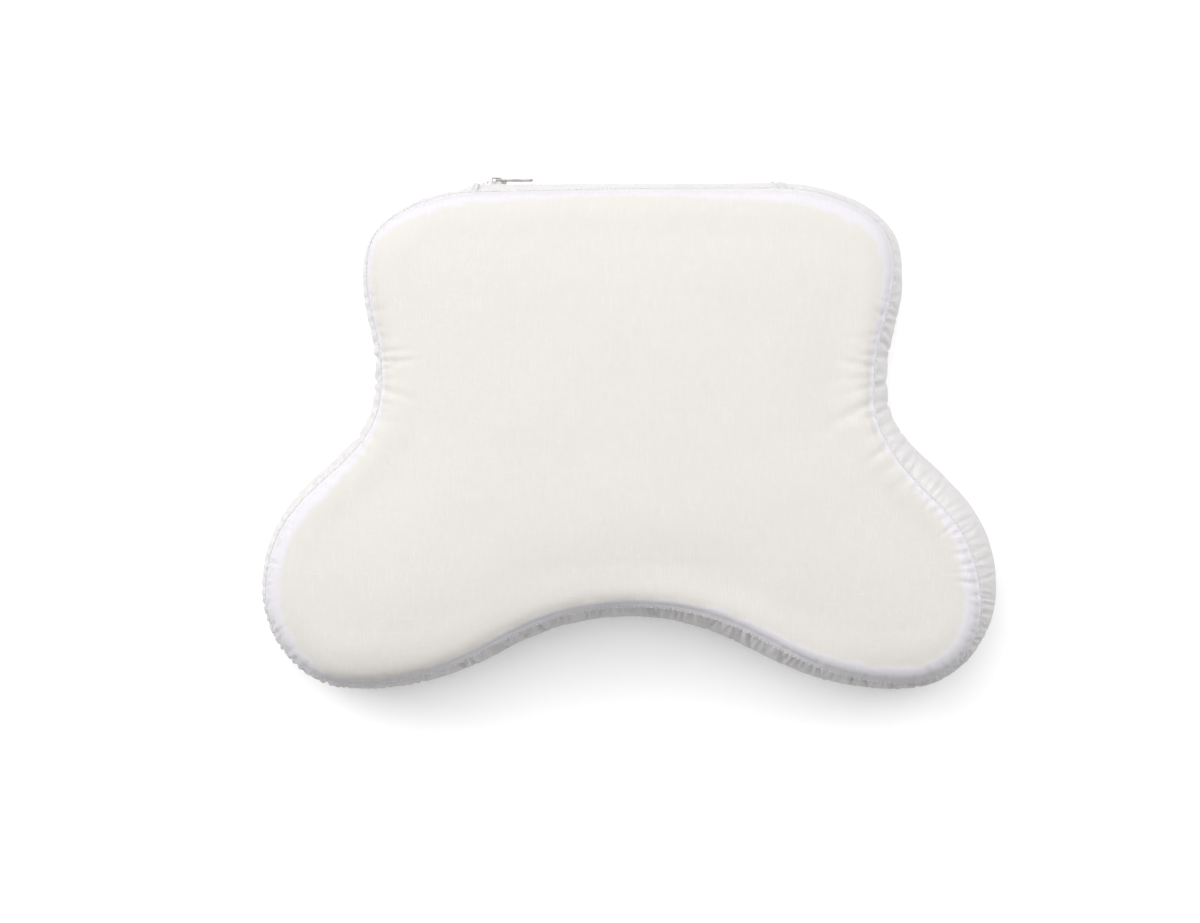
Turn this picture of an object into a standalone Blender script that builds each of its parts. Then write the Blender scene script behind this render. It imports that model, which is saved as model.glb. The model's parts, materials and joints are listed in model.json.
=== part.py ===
"""Butterfly-shaped lumbar support cushion.

A moulded foam core sits in a two-panel liner, inside a zipped cotton cover with a side band.
The cushion lies flat: +X across its two lobes, +Y towards the straight rear edge that holds the
zip, +Z up. Its underside is at z = 0, and the origin is under the middle of its overall box.
Lengths are in metres.
"""

import math

import bmesh
import bpy
from mathutils import Vector

# Outline, seen from above
WIDTH = 0.480  # across the two lobes
DEPTH = 0.331  # from the straight rear edge to the front of the lobes
HEAD_WIDTH = 0.354  # the block behind the waist, at its widest
HEAD_SETBACK = 0.053  # from the rear edge to that widest line
WAIST_WIDTH = 0.336
WAIST_SETBACK = 0.134
LOBE_SETBACK = 0.266  # from the rear edge to the line across the lobes' widest points
FOOT_SPACING = 0.354  # between the frontmost points of the two lobes
ARCH_RISE = 0.0445  # how far the arch between the lobes runs back from the front

# Edge, seen in section
THICKNESS = 0.090
EDGE_ROLL = 0.034  # from the side inwards to where the faces run flat
EDGE_POWER = 2.6  # 2 is an ellipse, and more is squarer
SEAM_INSET = 0.010  # from the side inwards to the seams round both faces

# Layers
GAP = 0.0003  # clearance between pieces that lie against each other
COVER_CLOTH = 0.0010
LINER_CLOTH = 0.0008
ALLOWANCE_WIDTH = 0.010  # turned-in cloth beside each seam
ALLOWANCE_CLOTH = 0.0012
THREAD_RADIUS = 0.0004

# Zip
ZIP_LENGTH = 0.192  # from the top stops to the bottom stop, both included
BAND_END = 0.004  # side band beyond each end of the zip
TAPE_CLOTH = 0.0006
TAPE_WIDTH = 0.013
TOOTH_PITCH = 0.0032
TOOTH_REACH = 0.0009  # how far a tooth passes the middle line
CHAIN_HALF_WIDTH = 0.0030
ROW_RAIL = 0.0014  # the part of a row that its teeth stand on
ROW_HEIGHT = 0.0019
TOP_STOP_LENGTH = 0.0024
BOTTOM_STOP_LENGTH = 0.0030
STOP_OVERHANG = 0.0003  # how much wider and higher than the chain a stop is

# Slider and pull tab
SLIDER_LENGTH = 0.0130
SLIDER_WALL = 0.0012
SLIDER_PLATE = 0.0013
SLIDER_NOSE = 0.72  # width of the slider's ends, as a share of its middle
BAND_CLEARANCE = 0.0005
BRIDGE_LENGTH = 0.0068
BRIDGE_POST = 0.0012
BRIDGE_WIDTH = 0.0018
BRIDGE_TOP = 0.0010
TAB_THICKNESS = 0.0014
TAB_WIDTH = 0.0070
TAB_ARM = 0.0015
TAB_WINDOW = 0.0055  # from the pivot to the far end of the window
TAB_LENGTH = 0.0240  # from the pivot to the tip
METAL_EDGE = 0.00025

# Resolution
CORNER_STEPS = 7
SIDE_STEPS = 4
SHOULDER_STEPS = 7
LOBE_STEPS = 9
ARCH_STEPS = 9
THREAD_SIDES = 5
BAR_SIDES = 12

# Depths under the cover's outer surface
TAPE_DEPTH = COVER_CLOTH + GAP
LINER_DEPTH = COVER_CLOTH + GAP + ALLOWANCE_CLOTH + GAP
FOAM_DEPTH = LINER_DEPTH + LINER_CLOTH + GAP

# Heights above the cover's outer surface at the zip
ROW_BASE = GAP - TAPE_DEPTH
ROW_TOP = ROW_BASE + ROW_HEIGHT
SLIDER_ROOF = ROW_TOP + GAP
SLIDER_TOP = SLIDER_ROOF + SLIDER_PLATE
PIVOT_HEIGHT = SLIDER_TOP + GAP + TAB_THICKNESS / 2
BRIDGE_ROOF = PIVOT_HEIGHT + TAB_THICKNESS / 2 + GAP
BRIDGE_HEIGHT = BRIDGE_ROOF + BRIDGE_TOP
SLIDER_HALF_WIDTH = CHAIN_HALF_WIDTH + GAP + SLIDER_WALL
SLOT_HALF_WIDTH = SLIDER_HALF_WIDTH + BAND_CLEARANCE

# Places
MID_HEIGHT = THICKNESS / 2
REAR = (DEPTH - BRIDGE_HEIGHT) / 2
FRONT = REAR - DEPTH
REAR_RUN = ZIP_LENGTH + 2 * BAND_END
CLOSED_X = -ZIP_LENGTH / 2 + TOP_STOP_LENGTH + GAP + SLIDER_LENGTH / 2

CREAM_COTTON = ("cream_cotton", (0.84, 0.81, 0.75), 0.90, 0.0)
WHITE_COTTON = ("white_cotton", (0.86, 0.86, 0.87), 0.90, 0.0)
WHITE_THREAD = ("white_thread", (0.88, 0.88, 0.88), 0.80, 0.0)
KNIT_LINER = ("knit_liner", (0.80, 0.79, 0.76), 0.95, 0.0)
CREAM_FOAM = ("cream_foam", (0.83, 0.77, 0.62), 0.95, 0.0)
WHITE_TAPE = ("white_tape", (0.84, 0.84, 0.83), 0.85, 0.0)
WHITE_NYLON = ("white_nylon", (0.85, 0.85, 0.84), 0.40, 0.0)
WHITE_ENAMEL = ("white_enamel", (0.80, 0.80, 0.79), 0.30, 0.0)


def clear_scene():
    for obj in list(bpy.data.objects):
        bpy.data.objects.remove(obj, do_unlink=True)


def make_collection(name, hidden=False):
    collection = bpy.data.collections.new(name)
    collection.hide_render = hidden
    bpy.context.scene.collection.children.link(collection)
    return collection


def material(finish):
    name, colour, roughness, metallic = finish
    found = bpy.data.materials.get(name)
    if found:
        return found
    made = bpy.data.materials.new(name)
    made.use_nodes = True
    shader = made.node_tree.nodes["Principled BSDF"]
    shader.inputs["Base Color"].default_value = (*colour, 1.0)
    shader.inputs["Roughness"].default_value = roughness
    shader.inputs["Metallic"].default_value = metallic
    return made


def add_object(name, mesh, collection, finish=None):
    obj = bpy.data.objects.new(name, mesh)
    collection.objects.link(obj)
    if finish:
        mesh.materials.append(material(finish))
    return obj


def mesh_from(bm, name):
    bmesh.ops.recalc_face_normals(bm, faces=bm.faces)
    mesh = bpy.data.meshes.new(name)
    bm.to_mesh(mesh)
    bm.free()
    return mesh


# The outline


def bezier_run(start, start_reach, end, end_reach, steps):
    """Points and outward normals along one cubic, without its last point.

    The reaches are vectors from the start, and back from the end, to the cubic's handles.
    """
    corners = (start, start + start_reach, end - end_reach, end)
    legs = [corners[i + 1] - corners[i] for i in range(3)]
    run = []
    for step in range(steps):
        t = step / steps
        s = 1 - t
        weights = (s**3, 3 * s * s * t, 3 * s * t * t, t**3)
        point = sum((c * w for c, w in zip(corners, weights)), Vector((0, 0)))
        way = legs[0] * s * s + legs[1] * 2 * s * t + legs[2] * t * t
        way.normalize()
        run.append((point, Vector((-way.y, way.x))))
    return run


def right_half():
    """The outline's right half, clockwise from the end of the rear run to the arch's middle."""
    forward, across, inward = Vector((0, -1)), Vector((1, 0)), Vector((-1, 0))
    # Each place with its direction, and its handles' shares of the runs before and after it
    places = (
        (Vector((REAR_RUN / 2, REAR)), across, 0.0, 0.34),
        (Vector((HEAD_WIDTH / 2, REAR - HEAD_SETBACK)), forward, 0.75, 0.60),
        (Vector((WAIST_WIDTH / 2, REAR - WAIST_SETBACK)), forward, 0.60, 0.39),
        (Vector((WIDTH / 2, REAR - LOBE_SETBACK)), forward, 0.59, 0.40),
        (Vector((FOOT_SPACING / 2, FRONT)), inward, 0.67, 0.51),
        (Vector((0, FRONT + ARCH_RISE)), inward, 0.46, 0.0),
    )
    steps = (CORNER_STEPS, SIDE_STEPS, SHOULDER_STEPS, LOBE_STEPS, ARCH_STEPS)
    points = []
    for before, after, count in zip(places, places[1:], steps):
        start, start_way, _, leaving = before
        end, end_way, arriving, _ = after
        run = end - start
        start_reach = start_way * leaving * abs(run.dot(start_way))
        end_reach = end_way * arriving * abs(run.dot(end_way))
        points += bezier_run(start, start_reach, end, end_reach, count)
    return points + [(places[-1][0], forward)]


def side_path():
    """From the right end of the rear run, round the front, to its left end."""
    right = right_half()
    left = [(Vector((-p.x, p.y)), Vector((-n.x, n.y))) for p, n in reversed(right[:-1])]
    return right + left


def rear_path(trim):
    """The straight rear run, left to right, shortened by trim at each end."""
    half = REAR_RUN / 2 - trim
    return [(Vector((x, REAR)), Vector((0, 1))) for x in (-half, half)]


# The edge section. An angle of 0 is the side's middle, and 90 degrees is the flat top face.


def edge_point(angle, depth=0.0):
    """Inset from the outline, and height, of the surface this deep under the cover's outside."""
    across = math.cos(angle) if abs(angle) < math.pi / 2 else 0.0
    up = abs(math.sin(angle)) ** (2 / EDGE_POWER)
    inset = depth + (EDGE_ROLL - depth) * (1 - across ** (2 / EDGE_POWER))
    return inset, MID_HEIGHT + math.copysign((MID_HEIGHT - depth) * up, angle)


def angle_at_inset(inset):
    return math.acos((1 - inset / EDGE_ROLL) ** (EDGE_POWER / 2))


def angle_at_rise(rise):
    """The angle where the side has risen this far above its middle."""
    return math.asin((rise / MID_HEIGHT) ** (EDGE_POWER / 2))


def spread(first, last, steps):
    return [first + (last - first) * i / steps for i in range(steps + 1)]


SEAM_ANGLE = angle_at_inset(SEAM_INSET)
PANEL_ANGLE = angle_at_inset(SEAM_INSET + GAP)
ALLOWANCE_ANGLE = angle_at_inset(SEAM_INSET + ALLOWANCE_WIDTH)
TAPE_EDGE_ANGLE = angle_at_rise(TAPE_WIDTH + GAP)
WALL_ANGLES = spread(TAPE_EDGE_ANGLE, SEAM_ANGLE, 2)
ALLOWANCE_ANGLES = [PANEL_ANGLE, ALLOWANCE_ANGLE]
FACE_ANGLES = [(ALLOWANCE_ANGLE + math.pi / 2) / 2, math.pi / 2]


def levels(angles, depth):
    return [edge_point(angle, depth) for angle in angles]


def strip_section(angles, depth, cloth):
    """Closed section of a strip of cloth that follows the edge between the outer two angles."""
    return levels(angles, depth) + levels(reversed(angles), depth + cloth)


def flipped(section):
    """The same section on the underside."""
    return [(inset, THICKNESS - height) for inset, height in section]


def loft(name, path, section, closed_path, closed_section):
    """A mesh with the section's levels joined along the path.

    An open section ends in a flat face at both ends, and an open path in the section's own shape.
    """
    bm = bmesh.new()
    rings = []
    for inset, height in section:
        ring = [bm.verts.new((*(point - normal * inset), height)) for point, normal in path]
        rings.append(ring)
    rows = list(zip(rings, rings[1:]))
    if closed_section:
        rows.append((rings[-1], rings[0]))
    last = len(path) if closed_path else len(path) - 1
    for lower, upper in rows:
        for i in range(last):
            j = (i + 1) % len(path)
            bm.faces.new((lower[i], lower[j], upper[j], upper[i]))
    if not closed_section:
        bm.faces.new(rings[0])
        bm.faces.new(rings[-1])
    if not closed_path:
        bm.faces.new([ring[0] for ring in rings])
        bm.faces.new([ring[-1] for ring in rings])
    return mesh_from(bm, name)


def soft_object(name, mesh, collection, finish):
    mesh.shade_smooth()
    mesh.set_sharp_from_angle(angle=math.radians(50))
    return add_object(name, mesh, collection, finish)


# Core and liner


def add_foam_core(parts):
    rise = [0.0] + WALL_ANGLES + ALLOWANCE_ANGLES[1:] + FACE_ANGLES
    angles = [-angle for angle in reversed(rise[1:])] + rise
    mesh = loft("foam_core", side_path(), levels(angles, FOAM_DEPTH), True, False)
    soft_object("foam_core", mesh, parts, CREAM_FOAM)


def face_shell(angles, depth, cloth):
    """Levels of a tray of cloth: in over its outer face, round its rim, and back under it."""
    return levels(reversed(angles), depth) + levels(angles, depth + cloth)


def add_liner(parts):
    first = angle_at_rise(GAP / 2)
    angles = [first] + WALL_ANGLES + ALLOWANCE_ANGLES[1:] + FACE_ANGLES
    shell = face_shell(angles, LINER_DEPTH, LINER_CLOTH)
    for name, section in (("liner_upper", shell), ("liner_lower", flipped(shell))):
        soft_object(name, loft(name, side_path(), section, True, False), parts, KNIT_LINER)


# Cover


def add_cover_panels(parts):
    shell = face_shell(ALLOWANCE_ANGLES + FACE_ANGLES, 0.0, COVER_CLOTH)
    panels = (
        ("cover_top_panel", shell, CREAM_COTTON),
        ("cover_bottom_panel", flipped(shell), WHITE_COTTON),
    )
    for name, section, finish in panels:
        soft_object(name, loft(name, side_path(), section, True, False), parts, finish)


def add_side_band(parts):
    angles = [-angle for angle in reversed(WALL_ANGLES)] + [0.0] + WALL_ANGLES
    section = strip_section(angles, 0.0, COVER_CLOTH)
    mesh = loft("cover_side_band", side_path(), section, False, True)
    soft_object("cover_side_band", mesh, parts, WHITE_COTTON)


def add_zip_bands(parts):
    angles = [angle_at_rise(SLOT_HALF_WIDTH)] + WALL_ANGLES
    section = strip_section(angles, 0.0, COVER_CLOTH)
    for name, shape in (("zip_band_upper", section), ("zip_band_lower", flipped(section))):
        soft_object(name, loft(name, rear_path(GAP), shape, False, True), parts, WHITE_COTTON)


def add_seam_allowances(parts):
    section = strip_section(ALLOWANCE_ANGLES, COVER_CLOTH + GAP, ALLOWANCE_CLOTH)
    rings = (("top_seam_allowance", section), ("bottom_seam_allowance", flipped(section)))
    for name, shape in rings:
        soft_object(name, loft(name, side_path(), shape, True, True), parts, WHITE_COTTON)


def add_seam_threads(parts):
    below, at, above = (edge_point(SEAM_ANGLE + turn) for turn in (-0.01, 0.0, 0.01))
    along = Vector((above[0] - below[0], above[1] - below[1])).normalized()
    outward = Vector((-along.y, along.x)) * (THREAD_RADIUS + GAP)
    section = []
    for side in range(THREAD_SIDES):
        turn = 2 * math.pi * side / THREAD_SIDES
        inset = at[0] + outward.x + THREAD_RADIUS * math.cos(turn)
        height = at[1] + outward.y + THREAD_RADIUS * math.sin(turn)
        section.append((inset, height))
    rings = (("top_seam_thread", section), ("bottom_seam_thread", flipped(section)))
    for name, shape in rings:
        soft_object(name, loft(name, side_path(), shape, True, True), parts, WHITE_THREAD)


# Zip. Its flat pieces are drawn in the X and Z of the rear side, and stand out of it along Y.


def block(name, corners, way):
    """A flat outline pushed along a vector."""
    bm = bmesh.new()
    face = bm.faces.new([bm.verts.new(corner) for corner in corners])
    pushed = bmesh.ops.extrude_face_region(bm, geom=[face])["geom"]
    bmesh.ops.translate(bm, vec=way, verts=[v for v in pushed if isinstance(v, bmesh.types.BMVert)])
    return mesh_from(bm, name)


def rear_block(name, outline, low, high):
    """A block on the rear side, from its (x, z) outline and its heights above the cloth there."""
    corners = [(x, REAR + low, z) for x, z in outline]
    return block(name, corners, Vector((0, high - low, 0)))


def rectangle(x_low, x_high, z_low, z_high):
    return [(x_low, z_low), (x_high, z_low), (x_high, z_high), (x_low, z_high)]


def add_zip_tapes(parts):
    angles = [angle_at_rise(GAP / 2), angle_at_rise(SLOT_HALF_WIDTH), TAPE_EDGE_ANGLE]
    section = strip_section(angles, TAPE_DEPTH, TAPE_CLOTH)
    for name, shape in (("zip_tape_upper", section), ("zip_tape_lower", flipped(section))):
        soft_object(name, loft(name, rear_path(GAP), shape, False, True), parts, WHITE_TAPE)


def tooth_row(side, first_x, last_x, offset):
    """Outline of one toothed row: its rail on its own side, and teeth across the middle line."""
    count = int((last_x - first_x - offset) / TOOTH_PITCH)
    tooth = TOOTH_PITCH / 2 - GAP
    outer = MID_HEIGHT + side * CHAIN_HALF_WIDTH
    rail = MID_HEIGHT + side * (CHAIN_HALF_WIDTH - ROW_RAIL)
    tip = MID_HEIGHT - side * TOOTH_REACH
    outline = [(last_x, outer), (first_x, outer), (first_x, rail)]
    for i in range(count):
        x = first_x + offset + GAP + i * TOOTH_PITCH
        outline += [(x, rail), (x, tip), (x + tooth, tip), (x + tooth, rail)]
    return outline + [(last_x, rail)]


def add_zip_rows(parts):
    first_x = -ZIP_LENGTH / 2 + TOP_STOP_LENGTH + GAP
    last_x = ZIP_LENGTH / 2 - BOTTOM_STOP_LENGTH - GAP
    rows = (("zip_row_upper", 1, 0.0), ("zip_row_lower", -1, TOOTH_PITCH / 2))
    for name, side, offset in rows:
        outline = tooth_row(side, first_x, last_x, offset)
        add_object(name, rear_block(name, outline, ROW_BASE, ROW_TOP), parts, WHITE_NYLON)


def add_zip_stops(parts):
    start, end = -ZIP_LENGTH / 2, ZIP_LENGTH / 2
    top_end = start + TOP_STOP_LENGTH
    half = CHAIN_HALF_WIDTH + STOP_OVERHANG
    low, high = MID_HEIGHT - half, MID_HEIGHT + half
    stops = (
        ("zip_top_stop_upper", rectangle(start, top_end, MID_HEIGHT + TOOTH_REACH, high)),
        ("zip_top_stop_lower", rectangle(start, top_end, low, MID_HEIGHT - TOOTH_REACH)),
        ("zip_bottom_stop", rectangle(end - BOTTOM_STOP_LENGTH, end, low, high)),
    )
    for name, outline in stops:
        mesh = rear_block(name, outline, ROW_BASE, ROW_TOP + STOP_OVERHANG)
        bevelled(add_object(name, mesh, parts, WHITE_ENAMEL))


def bevelled(obj):
    bevel = obj.modifiers.new("Soft edges", "BEVEL")
    bevel.width = METAL_EDGE
    bevel.segments = 1
    bevel.limit_method = "ANGLE"
    bevel.angle_limit = math.radians(40)
    return obj


def joined(obj, other, operation):
    """A Boolean of this object with a helper, which stays out of the model."""
    other.hide_render = True
    other.display_type = "WIRE"
    modifier = obj.modifiers.new(other.name, "BOOLEAN")
    modifier.operation = operation
    modifier.solver = "EXACT"
    modifier.object = other
    return obj


def moved_to(obj, place):
    """Puts the object's origin at a point and leaves its mesh where it is."""
    obj.location = place
    for vertex in obj.data.vertices:
        vertex.co -= Vector(place)
    return obj


def channel_mesh(name):
    """The slider's body: a plate over the chain, narrower at its ends, with two side walls."""
    half, quarter = SLIDER_LENGTH / 2, SLIDER_LENGTH / 4
    wide, nose = SLIDER_HALF_WIDTH, SLIDER_HALF_WIDTH * SLIDER_NOSE
    outline = [(-half, -nose), (-quarter, -wide), (quarter, -wide), (half, -nose)]
    outline += [(x, -z) for x, z in reversed(outline)]
    placed = [(CLOSED_X + x, MID_HEIGHT + z) for x, z in outline]
    return rear_block(name, placed, ROW_BASE + GAP, SLIDER_TOP)


def add_slider(parts, helpers):
    slider = add_object("zip_slider", channel_mesh("zip_slider"), parts, WHITE_ENAMEL)
    inner = CHAIN_HALF_WIDTH + GAP
    low_x, high_x = CLOSED_X - SLIDER_LENGTH, CLOSED_X + SLIDER_LENGTH
    outline = rectangle(low_x, high_x, MID_HEIGHT - inner, MID_HEIGHT + inner)
    tunnel = rear_block("chain_tunnel", outline, ROW_BASE - SLIDER_PLATE, SLIDER_ROOF)
    joined(slider, add_object("chain_tunnel", tunnel, helpers), "DIFFERENCE")
    foot = SLIDER_TOP - SLIDER_PLATE / 2
    outer, opening = BRIDGE_LENGTH / 2, BRIDGE_LENGTH / 2 - BRIDGE_POST
    arch = [(-outer, foot), (-outer, BRIDGE_HEIGHT), (outer, BRIDGE_HEIGHT), (outer, foot)]
    arch += [(opening, foot), (opening, BRIDGE_ROOF), (-opening, BRIDGE_ROOF), (-opening, foot)]
    corners = [(CLOSED_X + x, REAR + y, MID_HEIGHT - BRIDGE_WIDTH / 2) for x, y in arch]
    bridge = block("slider_bridge", corners, Vector((0, 0, BRIDGE_WIDTH)))
    joined(slider, add_object("slider_bridge", bridge, helpers), "UNION")
    bevelled(slider)
    return moved_to(slider, (CLOSED_X, REAR, MID_HEIGHT))


def add_pull_tab(parts, helpers, slider):
    """The tab lies flat towards +X, and turns about the round bar under the slider's bridge."""
    low, high = PIVOT_HEIGHT - TAB_THICKNESS / 2, PIVOT_HEIGHT + TAB_THICKNESS / 2
    half = TAB_WIDTH / 2
    tip = half / 2
    outline = [(0, -half), (TAB_LENGTH - tip, -half), (TAB_LENGTH, -tip)]
    outline += [(x, -z) for x, z in reversed(outline)]
    placed = [(CLOSED_X + x, MID_HEIGHT + z) for x, z in outline]
    tab = add_object("zip_pull_tab", rear_block("zip_pull_tab", placed, low, high), parts, WHITE_ENAMEL)
    inner = half - TAB_ARM
    low_x, high_x = CLOSED_X - TAB_WINDOW, CLOSED_X + TAB_WINDOW
    hole = rectangle(low_x, high_x, MID_HEIGHT - inner, MID_HEIGHT + inner)
    window = rear_block("tab_window", hole, low - TAB_THICKNESS, high + TAB_THICKNESS)
    joined(tab, add_object("tab_window", window, helpers), "DIFFERENCE")
    bm = bmesh.new()
    radius = TAB_THICKNESS / 2
    bmesh.ops.create_cone(
        bm, cap_ends=True, segments=BAR_SIDES, radius1=radius, radius2=radius, depth=TAB_WIDTH
    )
    bmesh.ops.translate(bm, vec=(CLOSED_X, REAR + PIVOT_HEIGHT, MID_HEIGHT), verts=bm.verts)
    joined(tab, add_object("tab_bar", mesh_from(bm, "tab_bar"), helpers), "UNION")
    moved_to(tab, (CLOSED_X, REAR + PIVOT_HEIGHT, MID_HEIGHT))
    tab.parent = slider
    tab.matrix_parent_inverse = slider.matrix_basis.inverted()


def main():
    clear_scene()
    parts = make_collection("lumbar_support_cushion")
    helpers = make_collection("cutters", hidden=True)
    add_foam_core(parts)
    add_liner(parts)
    add_cover_panels(parts)
    add_side_band(parts)
    add_zip_bands(parts)
    add_seam_allowances(parts)
    add_seam_threads(parts)
    add_zip_tapes(parts)
    add_zip_rows(parts)
    add_zip_stops(parts)
    slider = add_slider(parts, helpers)
    add_pull_tab(parts, helpers, slider)


main()
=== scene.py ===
"""Looks of the butterfly-shaped lumbar support cushion.

A moulded foam block lies in a knit liner, inside a sewn cotton cover. The cover has a slubby
cream face, a white side band gathered onto it, a white underside, and a coil zip along the
straight rear side. +X runs across the two lobes, +Y to the rear, +Z up, and lengths are in metres.
"""

import json
import logging
import math
from dataclasses import dataclass, field
from enum import Enum
from functools import cached_property
from typing import Any, Sequence

import bmesh
import bpy
import numpy as np
from mathutils import Matrix, Vector, kdtree, noise
from mathutils.geometry import delaunay_2d_cdt

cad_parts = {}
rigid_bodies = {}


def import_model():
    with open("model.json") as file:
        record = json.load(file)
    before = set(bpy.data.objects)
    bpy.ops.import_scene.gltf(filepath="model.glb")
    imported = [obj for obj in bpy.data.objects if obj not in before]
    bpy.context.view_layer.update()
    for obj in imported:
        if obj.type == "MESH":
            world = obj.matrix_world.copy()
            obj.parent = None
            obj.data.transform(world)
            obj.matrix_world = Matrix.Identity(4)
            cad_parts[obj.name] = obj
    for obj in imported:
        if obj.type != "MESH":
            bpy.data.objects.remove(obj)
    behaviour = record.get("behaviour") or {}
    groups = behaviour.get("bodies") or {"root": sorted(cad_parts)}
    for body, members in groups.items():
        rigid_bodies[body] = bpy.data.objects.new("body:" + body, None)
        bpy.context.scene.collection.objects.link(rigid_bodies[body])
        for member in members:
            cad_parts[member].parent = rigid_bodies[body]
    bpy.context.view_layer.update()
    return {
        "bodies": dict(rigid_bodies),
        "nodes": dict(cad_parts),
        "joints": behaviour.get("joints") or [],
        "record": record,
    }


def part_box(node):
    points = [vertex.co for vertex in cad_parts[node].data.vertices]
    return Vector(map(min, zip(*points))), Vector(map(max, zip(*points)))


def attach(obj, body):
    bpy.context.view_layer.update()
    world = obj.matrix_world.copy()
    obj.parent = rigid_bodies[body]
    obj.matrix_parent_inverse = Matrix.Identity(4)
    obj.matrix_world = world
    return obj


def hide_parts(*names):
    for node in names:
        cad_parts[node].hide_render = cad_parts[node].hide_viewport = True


LOG = logging.getLogger("cushion")
MM = 0.001
TOUCH = 1e-5  # places closer than this, in metres, are one place
CLOTH_MAP = "cloth"  # UV map of every cloth piece, in metres of cloth
TURNED_MARK = "turned_cloth"  # how much turned-in cloth lies under a point of a face
TRIANGLE_HEIGHT = 0.866  # of an even triangle whose sides are 1

Array = np.ndarray
Colour = tuple[float, float, float]
Point = tuple[float, float, float]
Faces = list[Sequence[int]]
Dome = tuple[Array, Array, Array, Faces]


def eased(low: float, high: float, value: Array) -> Array:
    """A smooth step from 0 at low to 1 at high."""
    share = np.clip((value - low) / (high - low), 0.0, 1.0)
    return share * share * (3 - 2 * share)


def hump(value: Array) -> Array:
    """A bell of height 1 and half width about 1."""
    return np.exp(-np.square(value))


# ---------------------------------------------------------------- the shape of the cushion


class Side(Enum):
    """Which way a face of the cushion looks."""

    TOP = 1
    BOTTOM = -1


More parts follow.
